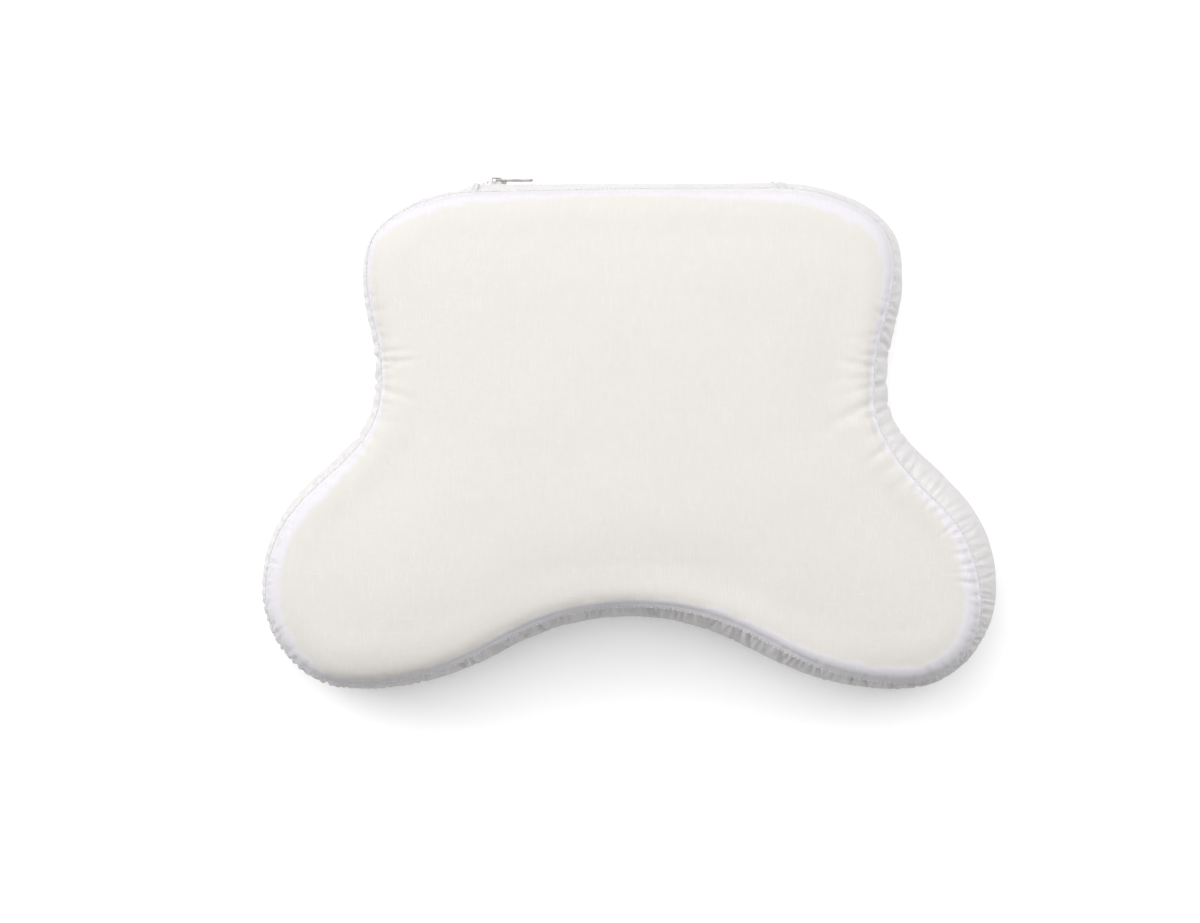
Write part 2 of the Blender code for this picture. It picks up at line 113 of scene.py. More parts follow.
@dataclass
class Outline:
    """The cushion seen from above: evenly spaced points, anticlockwise, with outward normals."""

    points: Array
    normals: Array
    length: float
    tree: kdtree.KDTree = field(repr=False)

    @classmethod
    def of_band(cls, band: bpy.types.Object, middle: float, cloth: float) -> "Outline":
        """Reads the outline from the side band, at half the cushion's thickness.

        Args:
            band: The CAD node of the side band, which is open along the rear.
            middle: Height of the band's widest line.
            cloth: Thickness of the band.

        Returns:
            The smooth closed outline of the band's outer surface.
        """
        places = mesh_points(band)
        level = places[np.abs(places[:, 2] - middle) < TOUCH, :2]
        ring = np.unique(np.round(level, 5), axis=0)
        gaps = np.linalg.norm(ring[:, None] - ring[None], axis=2)
        reach = np.linalg.norm(ring, axis=1)
        has_outer = (gaps > TOUCH) & (gaps < 1.5 * cloth) & (reach[None] > reach[:, None])
        ring = ring[~has_outer.any(axis=1)]
        ring = ring[np.argsort(np.arctan2(ring[:, 1], ring[:, 0]))]
        return cls.through(cls.filled(ring))

    @staticmethod
    def filled(ring: Array, longest: float = 0.012) -> Array:
        """Adds points along the ring's one long straight, the rear run.

        Args:
            ring: Points of the ring, anticlockwise.
            longest: Longest gap to leave in the straight.

        Returns:
            The ring with the new points in their place.
        """
        chords = np.linalg.norm(np.roll(ring, -1, axis=0) - ring, axis=1)
        i = int(np.argmax(chords))
        shares = np.linspace(0, 1, int(chords[i] / longest), endpoint=False)[1:, None]
        added = ring[i] + (ring[(i + 1) % len(ring)] - ring[i]) * shares
        return np.insert(ring, i + 1, added, axis=0)

    @classmethod
    def through(cls, ring: Array, step: float = 0.001, legs: int = 24) -> "Outline":
        """Draws a closed curve without kinks through the ring, and reads it at even steps.

        Args:
            ring: Points that the curve passes through, anticlockwise.
            step: Distance between the points that are read from it.
            legs: How many short legs the curve has between two points of the ring.

        Returns:
            The outline, with its normals and a tree of its points.
        """
        ahead = np.roll(ring, -1, axis=0) - ring
        chord = np.linalg.norm(ahead, axis=1)
        before = np.roll(chord, 1)
        i = np.arange(len(ring))
        matrix = np.diag(2 / before + 2 / chord)
        matrix[i, i - 1] += 1 / before
        matrix[i, (i + 1) % len(ring)] += 1 / chord
        slopes = ahead / chord[:, None] ** 2
        ways = np.linalg.solve(matrix, 3 * (slopes + np.roll(slopes, 1, axis=0)))
        t = np.linspace(0, 1, legs, endpoint=False)[None, :, None]
        start, start_way = ring[:, None], ways[:, None] * chord[:, None, None]
        end, end_way = np.roll(start, -1, axis=0), np.roll(ways, -1, axis=0)[:, None] * chord[:, None, None]
        curve = start * (2 * t**3 - 3 * t**2 + 1) + start_way * (t**3 - 2 * t**2 + t)
        curve = (curve + end * (3 * t**2 - 2 * t**3) + end_way * (t**3 - t**2)).reshape(-1, 2)
        steps = np.linalg.norm(np.roll(curve, -1, axis=0) - curve, axis=1)
        travel = np.concatenate([[0.0], np.cumsum(steps)])
        length = float(travel[-1])
        stations = np.linspace(0, length, round(length / step), endpoint=False)
        points = np.stack([np.interp(stations, travel[:-1], curve[:, k], period=length) for k in (0, 1)], 1)
        way = np.roll(points, -1, axis=0) - np.roll(points, 1, axis=0)
        way /= np.linalg.norm(way, axis=1)[:, None]
        tree = kdtree.KDTree(len(points))
        for index, (x, y) in enumerate(points):
            tree.insert((x, y, 0.0), index)
        tree.balance()
        return cls(points, np.stack([way[:, 1], -way[:, 0]], 1), length, tree)

    @cached_property
    def stations(self) -> Array:
        """Distance along the outline of each of its points."""
        return np.arange(len(self.points)) * self.length / len(self.points)

    def read(self, values: Array, station: Array) -> Array:
        """A value given at each of the outline's points, read at any distance along it."""
        return np.interp(station, self.stations, values, period=self.length)

    def at(self, station: Array) -> tuple[Array, Array]:
        """Reads the outline and its outward normals.

        Args:
            station: Distances along the outline.

        Returns:
            The points and the normals, one row each.
        """
        grids = (self.points, self.normals)
        points, normals = (np.stack([self.read(grid[:, k], station) for k in (0, 1)], -1) for grid in grids)
        return points, normals

    def nearest(self, plan: Array) -> tuple[Array, Array]:
        """Finds where points that are seen from above lie.

        Args:
            plan: Points, one row each.

        Returns:
            For each point, its distance along the outline and its inset from it.
        """
        found = np.array([self.tree.find((x, y, 0.0))[1] for x, y in plan])
        away = plan - self.points[found]
        normals = self.normals[found]
        along = away[:, 1] * normals[:, 0] - away[:, 0] * normals[:, 1]
        return (self.stations[found] + along) % self.length, -(away * normals).sum(axis=1)

    def bearing(self, degrees: float) -> float:
        """Distance along the outline of the point in this direction, clockwise from the rear."""
        away = np.degrees(np.arctan2(self.points[:, 0], self.points[:, 1])) - degrees
        return float(self.stations[np.argmin(np.abs((away + 180) % 360 - 180))])

    def apart(self, station: Array, other: float | Array) -> Array:
        """Signed distance along the outline between two places."""
        return (station - other + self.length / 2) % self.length - self.length / 2

    def blurred(self, values: Array, width: float) -> Array:
        """Evens out values round the outline.

        Args:
            values: One value for each of the outline's points.
            width: Distance over which they are evened out.

        Returns:
            The smoothed values.
        """
        waves = np.fft.rfftfreq(len(values), self.length / len(values))
        kept = np.exp(-2 * np.square(math.pi * width * waves))
        return np.fft.irfft(np.fft.rfft(values) * kept, len(values))


# Bearings from the middle of the cushion, clockwise from the rear, of the places on its right half:
# corner, head, waist, shoulder, lobe, tip, foot and flank of the arch.
PLACES = (44.0, 60.0, 80.0, 97.0, 111.0, 123.0, 134.0, 151.0)


@dataclass(frozen=True)
class Around:
    """A size that changes smoothly round the outline, in millimetres at its named places."""

    rear: float
    right: tuple[float, ...]
    arch: float
    left: tuple[float, ...]

    def on(self, outline: Outline, blur: float = 0.012) -> Array:
        """Spreads the size round an outline.

        Args:
            outline: The outline that the places lie on.
            blur: Distance over which the steps between places are evened out.

        Returns:
            The size at each of the outline's points, in metres.
        """
        bearings = (0.0, *PLACES, 180.0, *(-place for place in reversed(PLACES)))
        values = np.array((self.rear, *self.right, self.arch, *reversed(self.left)))
        stations = np.array([outline.bearing(degrees) for degrees in bearings])
        order = np.argsort(stations)
        grid = np.interp(outline.stations, stations[order], values[order], period=outline.length)
        return outline.blurred(grid, blur) * MM


@dataclass(frozen=True)
class EdgeRoll:
    """Section of the rounded edge. An arc is a distance from the side's middle, along the section.

    Arcs are positive towards the top face and negative towards the underside.
    """

    half: float
    roll: float = 0.034
    power: float = 2.6

    @cached_property
    def table(self) -> tuple[Array, Array, Array]:
        """Arc, inset from the side and rise above the middle, from the side to the flat face."""
        turn = np.linspace(0, math.pi / 2, 2001)
        inset = self.roll * (1 - np.cos(turn).clip(0) ** (2 / self.power))
        rise = self.half * np.sin(turn) ** (2 / self.power)
        arc = np.concatenate([[0.0], np.cumsum(np.hypot(np.diff(inset), np.diff(rise)))])
        return arc, inset, rise

    @property
    def end(self) -> float:
        """The arc where the face begins to run flat."""
        return float(self.table[0][-1])

    def arc_of(self, inset: Array) -> Array:
        """The arc at an inset from the side."""
        arc, insets, _ = self.table
        return np.interp(inset, insets, arc) + np.maximum(inset - self.roll, 0.0)

    def at(self, arc: Array) -> tuple[Array, Array, Array, Array]:
        """Reads the section.

        Args:
            arc: Arcs, positive towards the top.

        Returns:
            Inset from the side, rise above the middle, and the normal's outward and upward parts.
        """
        arcs, insets, rises = self.table
        size, sign = np.abs(arc), np.sign(arc)
        inset = np.interp(size, arcs, insets) + np.maximum(size - self.end, 0.0)
        out = np.interp(size, arcs, np.gradient(rises, arcs))
        up = np.interp(size, arcs, np.gradient(insets, arcs))
        scale = np.maximum(np.hypot(out, up), 1e-9)
        return inset, np.interp(size, arcs, rises) * sign, out / scale, up / scale * sign


@dataclass
class Gathers:
    """Creases that run away from a seam, where one cloth is longer than the other.

    A crease is a hollow with a low swell on each side of it. It starts a little way from the seam.
    """

    outline: Outline
    depth: Array
    reach: Array
    spacing: Array
    seed: int
    width: float = 0.34  # of a crease, as a share of the gap to the next one
    swell: float = 1.3
    start: tuple[float, float] = (-0.0003, 0.0028)  # where a crease begins and where it is at full depth
    full: float = 0.15  # share of its reach that keeps the full depth

    @cached_property
    def creases(self) -> list[tuple[float, float, float, float, float]]:
        """Place, depth, half width, reach and slant of each crease."""
        chance = np.random.default_rng(self.seed)
        found, station = [], 0.0
        while station < self.outline.length:
            gap = float(self.outline.read(self.spacing, station)) * chance.uniform(0.6, 1.4)
            depth = float(self.outline.read(self.depth, station)) * chance.uniform(0.3, 1.0)
            reach = float(self.outline.read(self.reach, station)) * chance.uniform(0.5, 1.2)
            found.append((station, depth, gap * self.width, reach, chance.uniform(-0.22, 0.22)))
            station += gap
        return found

    def lift(self, station: Array, away: Array) -> Array:
        """Reads the creases.

        Args:
            station: Distances along the outline.
            away: Distances from the seam.

        Returns:
            The height of the creased cloth above the smooth one at each place.
        """
        total = np.zeros_like(station)
        for place, depth, width, reach, slant in self.creases:
            across = self.outline.apart(station, place) - slant * away
            near = np.abs(across) < 4 * width
            turn = np.square(across[near] / width)
            fade = eased(*self.start, away[near]) * (1 - eased(self.full * reach, reach, away[near]))
            total[near] -= depth * (1 - self.swell * turn) * np.exp(-turn) * fade
        return total


@dataclass
class Swelling:
    """How far the cover's cloth moves when the cushion fills it."""

    tree: kdtree.KDTree
    moves: Array

    def at(self, points: Array, count: int = 7, blur: float = 0.004) -> Array:
        """Reads the moves.

        Args:
            points: Points of the unfilled cover.
            count: How many of the trial's nearest points are blended.
            blur: Distance within which those points count alike.

        Returns:
            The move of each point.
        """
        moves = np.empty_like(points)
        for row, point in enumerate(points):
            near = self.tree.find_n(point, count)
            weights = np.array([1 / (blur * blur + distance * distance) for _, _, distance in near])
            moves[row] = weights @ self.moves[[index for _, index, _ in near]] / weights.sum()
        return moves


@dataclass
class Skin:
    """The outer surface of the filled cover, by station along the outline and arc of the section."""

    outline: Outline
    edge: EdgeRoll
    middle: float
    zip_reach: float  # half length of the straight run that holds the zip
    start_depth: float = 0.0015  # the unfilled cover lies this far inside the filled one
    seam_inset: Around = Around(6, (7, 6.5, 9, 19, 15, 4.5, 4, 9), 6, (5, 5, 7, 9, 6, 3.5, 3.5, 5))
    slack: Around = Around(0, (0.5, 3, 1.5, 0.5, 0, 0, 0, -1), -3, (-3.5, -2.5, -1.5, 0, 0, 0, 0, -1))
    slack_spread: float = 0.045  # how far in from the side the slack reaches
    boxed: Around = Around(3, (3, 3, 3.5, 2.5, 3.5, 5, 5, 5), 5, (3, 3, 3.5, 3, 4, 5, 5, 5))
    box_start: float = 0.004  # from the top seam to the highest line of the boxed edge
    box_spread: float = 0.014
    bottom_inset: float = 0.010  # from the side to the bottom seam
    zip_ease: float = 0.014  # past the zip's end, where the cover becomes free again
    zip_slot: tuple[float, float] = (0.0085, 0.018)  # half heights of the held and of the eased cloth
    resting: tuple[float, float] = (0.016, 0.004)  # from the flat underside's edge, out to in
    swelling: Swelling | None = None

    @cached_property
    def seam_arcs(self) -> Array:
        """Arc of the top seam at each of the outline's points."""
        return self.edge.arc_of(self.seam_inset.on(self.outline))

    @cached_property
    def slack_grid(self) -> Array:
        """How far the cover hangs out past the outline at each of the outline's points."""
        return self.slack.on(self.outline)

    @cached_property
    def boxed_grid(self) -> Array:
        """How far the top seam stands above the rounded edge at each of the outline's points."""
        return self.boxed.on(self.outline)

    @cached_property
    def rear(self) -> float:
        """Distance along the outline of the middle of the rear."""
        return self.outline.bearing(0.0)

    @property
    def low_seam(self) -> float:
        """Arc of the bottom seam, as a positive distance."""
        return float(self.edge.arc_of(np.array(self.bottom_inset)))

    def seam_arc(self, side: Side, station: Array) -> Array:
        """Reads one of the two seams.

        Args:
            side: Which seam.
            station: Distances along the outline.

        Returns:
            The seam's arc at each place.
        """
        if side is Side.BOTTOM:
            return np.full_like(station, -self.low_seam)
        return self.outline.read(self.seam_arcs, station)

    def free(self, station: Array, arc: Array) -> Array:
        """How freely the cover may move.

        Args:
            station: Distances along the outline.
            arc: Arcs of the section.

        Returns:
            0 at the zip and on the flat underside, and 1 elsewhere.
        """
        from_rear = np.abs(self.outline.apart(station, self.rear))
        run = 1 - eased(self.zip_reach, self.zip_reach + self.zip_ease, from_rear)
        slot = 1 - eased(*self.zip_slot, np.abs(arc))
        resting = eased(*(self.edge.end - inset for inset in self.resting), -arc)
        return (1 - run * slot) * (1 - resting)

    def surface(
        self,
        station: Array,
        arc: Array,
        lift: Array | float = 0.0,
        plan: Array | None = None,
        depth: Array | float = 0.0,
    ) -> Array:
        """Points of the filled cover, or of a layer under it.

        Args:
            station: Distances along the outline.
            arc: Arcs of the section.
            lift: How far each point stands out of the surface, where the cover may move.
            plan: Where the points are seen from above, if that is known exactly.
            depth: How deep the layer lies, everywhere.

        Returns:
            One point for each station, none of them below what the cushion rests on.
        """
        inset, rise, out, up = self.edge.at(arc)
        flat, normal = self.outline.at(station)
        if plan is None:
            plan = flat - normal * inset[:, None]
        base = np.column_stack([plan, self.middle + rise])
        outward = np.column_stack([normal * out[:, None], up])
        free = self.free(station, arc)
        start = base - outward * self.start_depth
        moved = base if self.swelling is None else start + self.swelling.at(start)
        hang = self.outline.read(self.slack_grid, station) * hump(inset / self.slack_spread) * free
        moved = base + (moved - base) * free[:, None] + outward * (free * lift - depth)[:, None]
        moved[:, :2] += normal * hang[:, None]
        past_seam = arc - self.seam_arc(Side.TOP, station) - self.box_start
        moved[:, 2] += self.outline.read(self.boxed_grid, station) * hump(past_seam / self.box_spread) * free
        moved[:, 2] = np.maximum(moved[:, 2], np.maximum(depth, 0.0))
        return moved

    def dome(self, stations: Array, rows: Array, grain: float) -> Dome:
        """A surface over one whole face: rows along the edge, and even triangles inside them.

        Args:
            stations: Distances along the outline of the rows' points.
            rows: Arcs of the rows' points, outermost row first, as positive distances.
            grain: Spacing of the points inside the rows.

        Returns:
            Station, arc and place seen from above of each point, and the faces as seen from above.
        """
        columns = len(stations)
        station, arc = np.tile(stations, len(rows)), rows.ravel()
        flat, normal = self.outline.at(station)
        plan = flat - normal * self.edge.at(arc)[0][:, None]
        low, high = self.outline.points.min(axis=0), self.outline.points.max(axis=0)
        across = np.arange(low[0], high[0], grain)
        x, y = np.meshgrid(across, np.arange(low[1], high[1], grain * TRIANGLE_HEIGHT))
        x[1::2] += grain / 2
        inner = np.column_stack([x.ravel(), y.ravel()])
        inner_station, inset = self.outline.nearest(inner)
        inner_arc = self.edge.arc_of(inset)
        last_row = self.outline.read(np.interp(self.outline.stations, stations, rows[-1]), inner_station)
        clear = grain * 0.6
        keep = (inset > 0) & (inner_arc > last_row + clear)
        rim = len(plan) - columns
        patch = np.concatenate([plan[rim:], inner[keep]])
        loop = [(i, (i + 1) % columns) for i in range(columns)]
        found = delaunay_2d_cdt([Vector(point) for point in patch], loop, [], 1, 1e-7)
        source = np.array([given[0] for given in found[3]]) + rim
        faces = grid_faces(len(rows), columns, closed=True) + source[np.array(found[2])].tolist()
        station = np.concatenate([station, inner_station[keep]])
        arc = np.concatenate([arc, inner_arc[keep]])
        return station, arc, np.concatenate([plan, inner[keep]]), faces

    def cloth_map(self, station: Array, arc: Array, plan: Array) -> Array:
        """Lays a face's cloth flat: as seen from above, and unrolled past the edge.

        Args:
            station: Distances along the outline.
            arc: Arcs of the section.
            plan: The same points as seen from above.

        Returns:
            Two coordinates for each point, in metres of cloth.
        """
        flat, normal = self.outline.at(station)
        rolled = flat - normal * (self.edge.roll + np.abs(arc) - self.edge.end)[:, None]
        return np.where((np.abs(arc) < self.edge.end)[:, None], rolled, plan)


@dataclass(frozen=True)
class FillTrial:
    """Fills the sewn cover by a cloth simulation, with its seams, zip and underside held."""

    voxel: float = 0.005
    pressure: float = 6.0
    last_frame: int = 20
    spare_cloth: float = 0.06  # how much longer the band's cloth is than the side it covers
    most_out: float = 0.0030
    most_in: float = 0.0006
    most_sideways: float = 0.0030
    foam_grip: float = 0.025  # the flat foam evens out the top face over about this distance
    seam_hold: float = 0.0035  # how far from a seam the cloth is still stiff
    columns: int = 260
    rows: int = 33

    def run(self, skin: Skin) -> Swelling:
        """Simulates the filling.

        Args:
            skin: The cover's surface, not yet filled.

        Returns:
            The moves of the cloth, with none longer than the foam allows.
        """
        cover = self.cover(skin)
        rest = mesh_points(cover)
        outward = np.array([normal.vector for normal in cover.data.vertex_normals])
        station, inset = skin.outline.nearest(rest[:, :2])
        rise = rest[:, 2] - skin.middle
        arc = np.copysign(skin.edge.arc_of(np.maximum(inset - skin.start_depth, 0.0)), rise)
        steep = np.abs(outward[:, 2]) < 0.5
        arc = np.where(steep, rise, arc)
        band = (arc < skin.seam_arc(Side.TOP, station)) & (arc > -skin.low_seam)
        seams = [hump((arc - skin.seam_arc(side, station)) / self.seam_hold) for side in Side]
        held = np.maximum.reduce([*seams, 1 - skin.free(station, arc)])
        self.weigh(cover, "held", np.where(held > 0.45, 1.0, 0.0))
        self.weigh(cover, "gathered", band.astype(float))
        moved = self.simulate(cover)
        bpy.data.objects.remove(cover)
        moves = moved - rest
        out = (moves * outward).sum(axis=1)
        sideways = moves - outward * out[:, None]
        past = out - skin.start_depth
        most = np.where(past > 0, self.most_out, self.most_in)
        past = most * np.tanh(past / most)
        stray = np.linalg.norm(sideways, axis=1)[:, None]
        sideways *= np.minimum(1.0, self.most_sideways / np.maximum(stray, 1e-9))
        LOG.info("filling: moved out %.1f mm at most, %.1f mm on average", out.max() / MM, out.mean() / MM)
        tree = kdtree.KDTree(len(rest))
        for index, place in enumerate(rest):
            tree.insert(place, index)
        tree.balance()
        even = past.copy()
        for index in np.flatnonzero(outward[:, 2] > 0.5):
            near = [other for _, other, _ in tree.find_range(rest[index], self.foam_grip)]
            even[index] = past[near].mean()
        return Swelling(tree, outward * (even + skin.start_depth)[:, None] + sideways)

    def cover(self, skin: Skin) -> bpy.types.Object:
        """Makes the empty cover as one closed cloth of even quads.

        Args:
            skin: The cover's surface, not yet filled.

        Returns:
            The empty cover.
        """
        around = np.linspace(0, skin.outline.length, self.columns, endpoint=False)
        arcs = np.linspace(-skin.edge.end, skin.edge.end, self.rows)
        station, arc = (grid.ravel() for grid in np.meshgrid(around, arcs))
        inset, rise, out, up = skin.edge.at(arc)
        flat, normal = skin.outline.at(station)
        plan = flat - normal * (inset + out * skin.start_depth)[:, None]
        points = np.column_stack([plan, skin.middle + rise - up * skin.start_depth])
        faces = grid_faces(self.rows, self.columns, closed=True)
        faces += [list(range(self.columns))[::-1], list(range(len(points) - self.columns, len(points)))]
        shell = make_object("unfilled_cover", points, faces)
        remesh = shell.modifiers.new("even cloth", "REMESH")
        remesh.mode = "VOXEL"
        remesh.voxel_size = self.voxel
        return baked(shell)

    @staticmethod
    def weigh(obj: bpy.types.Object, name: str, weights: Array) -> None:
        """Adds a vertex group.

        Args:
            obj: The object.
            name: The group's name.
            weights: A weight for each point.
        """
        group = obj.vertex_groups.new(name=name)
        for index in np.flatnonzero(weights > 0):
            group.add([int(index)], float(weights[index]), "REPLACE")

    def simulate(self, cover: bpy.types.Object) -> Array:
        """Blows the cover up.

        Args:
            cover: The empty cover, with its groups.

        Returns:
            The cloth's points after the last frame.
        """
        cloth = cover.modifiers.new("filling", "CLOTH")
        settings = cloth.settings
        settings.quality = 5
        settings.mass = 0.25
        settings.tension_stiffness = settings.compression_stiffness = 18
        settings.shear_stiffness = 6
        settings.bending_stiffness = 0.4
        settings.use_pressure = True
        settings.uniform_pressure_force = self.pressure
        settings.vertex_group_mass = "held"
        settings.vertex_group_shrink = "gathered"
        settings.shrink_max = -self.spare_cloth
        settings.effector_weights.gravity = 0
        cloth.point_cache.frame_start = 1
        cloth.point_cache.frame_end = self.last_frame
        scene = bpy.context.scene
        for frame in range(1, self.last_frame + 1):
            scene.frame_set(frame)
        graph = bpy.context.evaluated_depsgraph_get()
        moved = mesh_points(cover.evaluated_get(graph))
        scene.frame_set(1)
        return moved


# ---------------------------------------------------------------- meshes


def mesh_points(obj: bpy.types.Object) -> Array:
    """Reads the points of an object's mesh.

    Args:
        obj: A mesh object.

    Returns:
        One row for each point.
    """
    flat = np.empty(len(obj.data.vertices) * 3)
    obj.data.vertices.foreach_get("co", flat)
    return flat.reshape(-1, 3)


def grid_faces(rows: int, columns: int, closed: bool) -> Faces:
    """Makes the quads of a grid of points that is given row by row.

    Args:
        rows: Number of rows.
        columns: Number of points in a row.
        closed: Whether each row joins round.

    Returns:
        Four point numbers for each face.
    """
    index = np.arange(rows * columns).reshape(rows, columns)
    right = np.roll(index, -1, axis=1)
    if not closed:
        index, right = index[:, :-1], right[:, :-1]
    quads = np.stack([index[:-1], right[:-1], right[1:], index[1:]], axis=-1)
    return quads.reshape(-1, 4).tolist()


def make_object(
    name: str,
    points: Array,
    faces: Sequence[Sequence[int]],
    edges: Sequence[Sequence[int]] = (),
    cloth_map: Array | None = None,
    marks: Array | None = None,
) -> bpy.types.Object:
    """A smooth-shaded mesh object at the origin.

    Args:
        name: The object's name.
        points: One row for each point.
        faces: Point numbers of each face.
        edges: Point numbers of loose edges.
        cloth_map: Flat cloth coordinates of each point.
        marks: How much turned-in cloth lies under each point.

    Returns:
        The object, in the scene.
    """
    mesh = bpy.data.meshes.new(name)
    mesh.from_pydata(points.tolist(), list(edges), faces)
    if cloth_map is not None:
        corners = np.empty(len(mesh.loops), dtype=int)
        mesh.loops.foreach_get("vertex_index", corners)
        mesh.uv_layers.new(name=CLOTH_MAP).data.foreach_set("uv", cloth_map[corners].ravel())
    if marks is not None:
        mesh.attributes.new(TURNED_MARK, "FLOAT", "POINT").data.foreach_set("value", marks)
    if len(faces):
        mesh.shade_smooth()
    obj = bpy.data.objects.new(name, mesh)
    bpy.context.scene.collection.objects.link(obj)
    return obj


def baked(obj: bpy.types.Object) -> bpy.types.Object:
    """Makes the modifiers' result the object's own mesh.

    Args:
        obj: An object with modifiers.

    Returns:
        The same object, with a plain mesh and no modifiers.
    """
    graph = bpy.context.evaluated_depsgraph_get()
    result = obj.evaluated_get(graph)
    mesh = bpy.data.meshes.new_from_object(result, preserve_all_data_layers=True, depsgraph=graph)
    obj.modifiers.clear()
    old, obj.data = obj.data, mesh
    bpy.data.meshes.remove(old)
    mesh.name = obj.name
    return obj


def thickened(obj: bpy.types.Object, cloth: float) -> bpy.types.Object:
    """Gives a sheet its thickness.

    Args:
        obj: A sheet.
        cloth: The cloth's thickness.

    Returns:
        The same object as closed cloth, with its thickness on the inside.
    """
    solid = obj.modifiers.new("cloth", "SOLIDIFY")
    solid.thickness = cloth
    solid.offset = -1
    return baked(obj)


def welded(obj: bpy.types.Object, distance: float) -> bpy.types.Object:
    """Joins points that lie together.

    Args:
        obj: A mesh object.
        distance: Points closer than this become one.

    Returns:
        The same object.
    """
    mesh = bmesh.new()
    mesh.from_mesh(obj.data)
    bmesh.ops.remove_doubles(mesh, verts=mesh.verts, dist=distance)
    mesh.to_mesh(obj.data)
    mesh.free()
    return obj


def merge_into(obj: bpy.types.Object, extra: bpy.types.Object) -> None:
    """Adds another object's mesh to this one and removes that object.

    Args:
        obj: The object that stays.
        extra: The object that is added to it.
    """
    mesh = bmesh.new()
    mesh.from_mesh(obj.data)
    mesh.from_mesh(extra.data)
    mesh.to_mesh(obj.data)
    mesh.free()
    bpy.data.objects.remove(extra)


def pill(name: str, centre: Point, halves: Point) -> bpy.types.Object:
    """Makes a rounded lump.

    Args:
        name: The lump's name.
        centre: Its middle.
        halves: Its half sizes.

    Returns:
        The lump, not yet in the scene.
    """
    shape = bmesh.new()
    place = Matrix.LocRotScale(Vector(centre), None, Vector(halves))
    bmesh.ops.create_icosphere(shape, subdivisions=3, radius=1.0, matrix=place)
    mesh = bpy.data.meshes.new(name)
    shape.to_mesh(mesh)
    shape.free()
    return bpy.data.objects.new(name, mesh)


def fit(obj: bpy.types.Object, body: str, slot: str, *nodes: str) -> bpy.types.Object:
    """Puts a finished piece on its body.

    Args:
        obj: The finished piece.
        body: The body that it rides on.
        slot: Not used.
        nodes: CAD nodes that it stands for.

    Returns:
        The same piece.
    """
    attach(obj, body)
    if nodes:
        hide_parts(*nodes)
    LOG.info("%s: %d faces on %s", obj.name, len(obj.data.polygons), body)
    return obj


class Tree:
    """A node tree that is written as Python expressions."""

    def __init__(self, tree: bpy.types.NodeTree) -> None:
        """Starts from a tree."""
        self.tree = tree

    def node(
        self,
        kind: str,
        settings: dict[str, Any] | None = None,
        *values: Any,
        out: int | str = 0,
        **named: Any,
    ) -> "Wire":
        """Makes a node.

        Args:
            kind: The node's type.
            settings: Its settings, which are made first.
            values: Values or wires of its first sockets, in order. None leaves a socket alone.
            out: Which output to return.
            named: Values or wires of sockets by name, or by number as _2 and so on.

        Returns:
            A wire from the output.
        """
        made = self.tree.nodes.new(kind)
        for key, value in (settings or {}).items():
            setattr(made, key, value)
        for key, value in (*enumerate(values), *named.items()):
            if value is None:
                continue
            if isinstance(key, str):
                key = int(key[1:]) if key[0] == "_" else key.replace("_", " ")
            socket = made.inputs[key]
            if isinstance(value, Wire):
                self.tree.links.new(value.socket, socket)
            elif isinstance(value, list):
                for wire in value:
                    self.tree.links.new(wire.socket, socket)
            else:
                socket.default_value = value
        return Wire(self, made.outputs[out])


@dataclass(frozen=True)
class Wire:
    """An output socket, with the arithmetic of a number."""

    board: Tree
    socket: bpy.types.NodeSocket

    def maths(self, operation: str, *others: "Wire | float") -> "Wire":
        """A Math node with this as its first value."""
        return self.board.node("ShaderNodeMath", {"operation": operation}, self, *others)

    def __add__(self, other: "Wire | float") -> "Wire":
        """Sum."""
        return self.maths("ADD", other)

    def __mul__(self, other: "Wire | float") -> "Wire":
        """Product."""
        return self.maths("MULTIPLY", other)

    def __sub__(self, other: "Wire | float") -> "Wire":
        """Difference."""
        return self.maths("SUBTRACT", other)

    def __rsub__(self, other: float) -> "Wire":
        """A number less this."""
        return self.board.node("ShaderNodeMath", {"operation": "SUBTRACT"}, other, self)

    def __abs__(self) -> "Wire":
        """Size without sign."""
        return self.maths("ABSOLUTE")

    __radd__ = __add__
    __rmul__ = __mul__

    def wave(self, pitch: float) -> "Wire":
        """A sine that changes sign every pitch metres."""
        return (self * (math.pi / pitch)).maths("SINE")

    def between(self, low: float, high: float) -> "Wire":
        """A smooth step from 0 at low to 1 at high."""
        return self.board.node("ShaderNodeMapRange", {"interpolation_type": "SMOOTHSTEP"}, self, low, high)


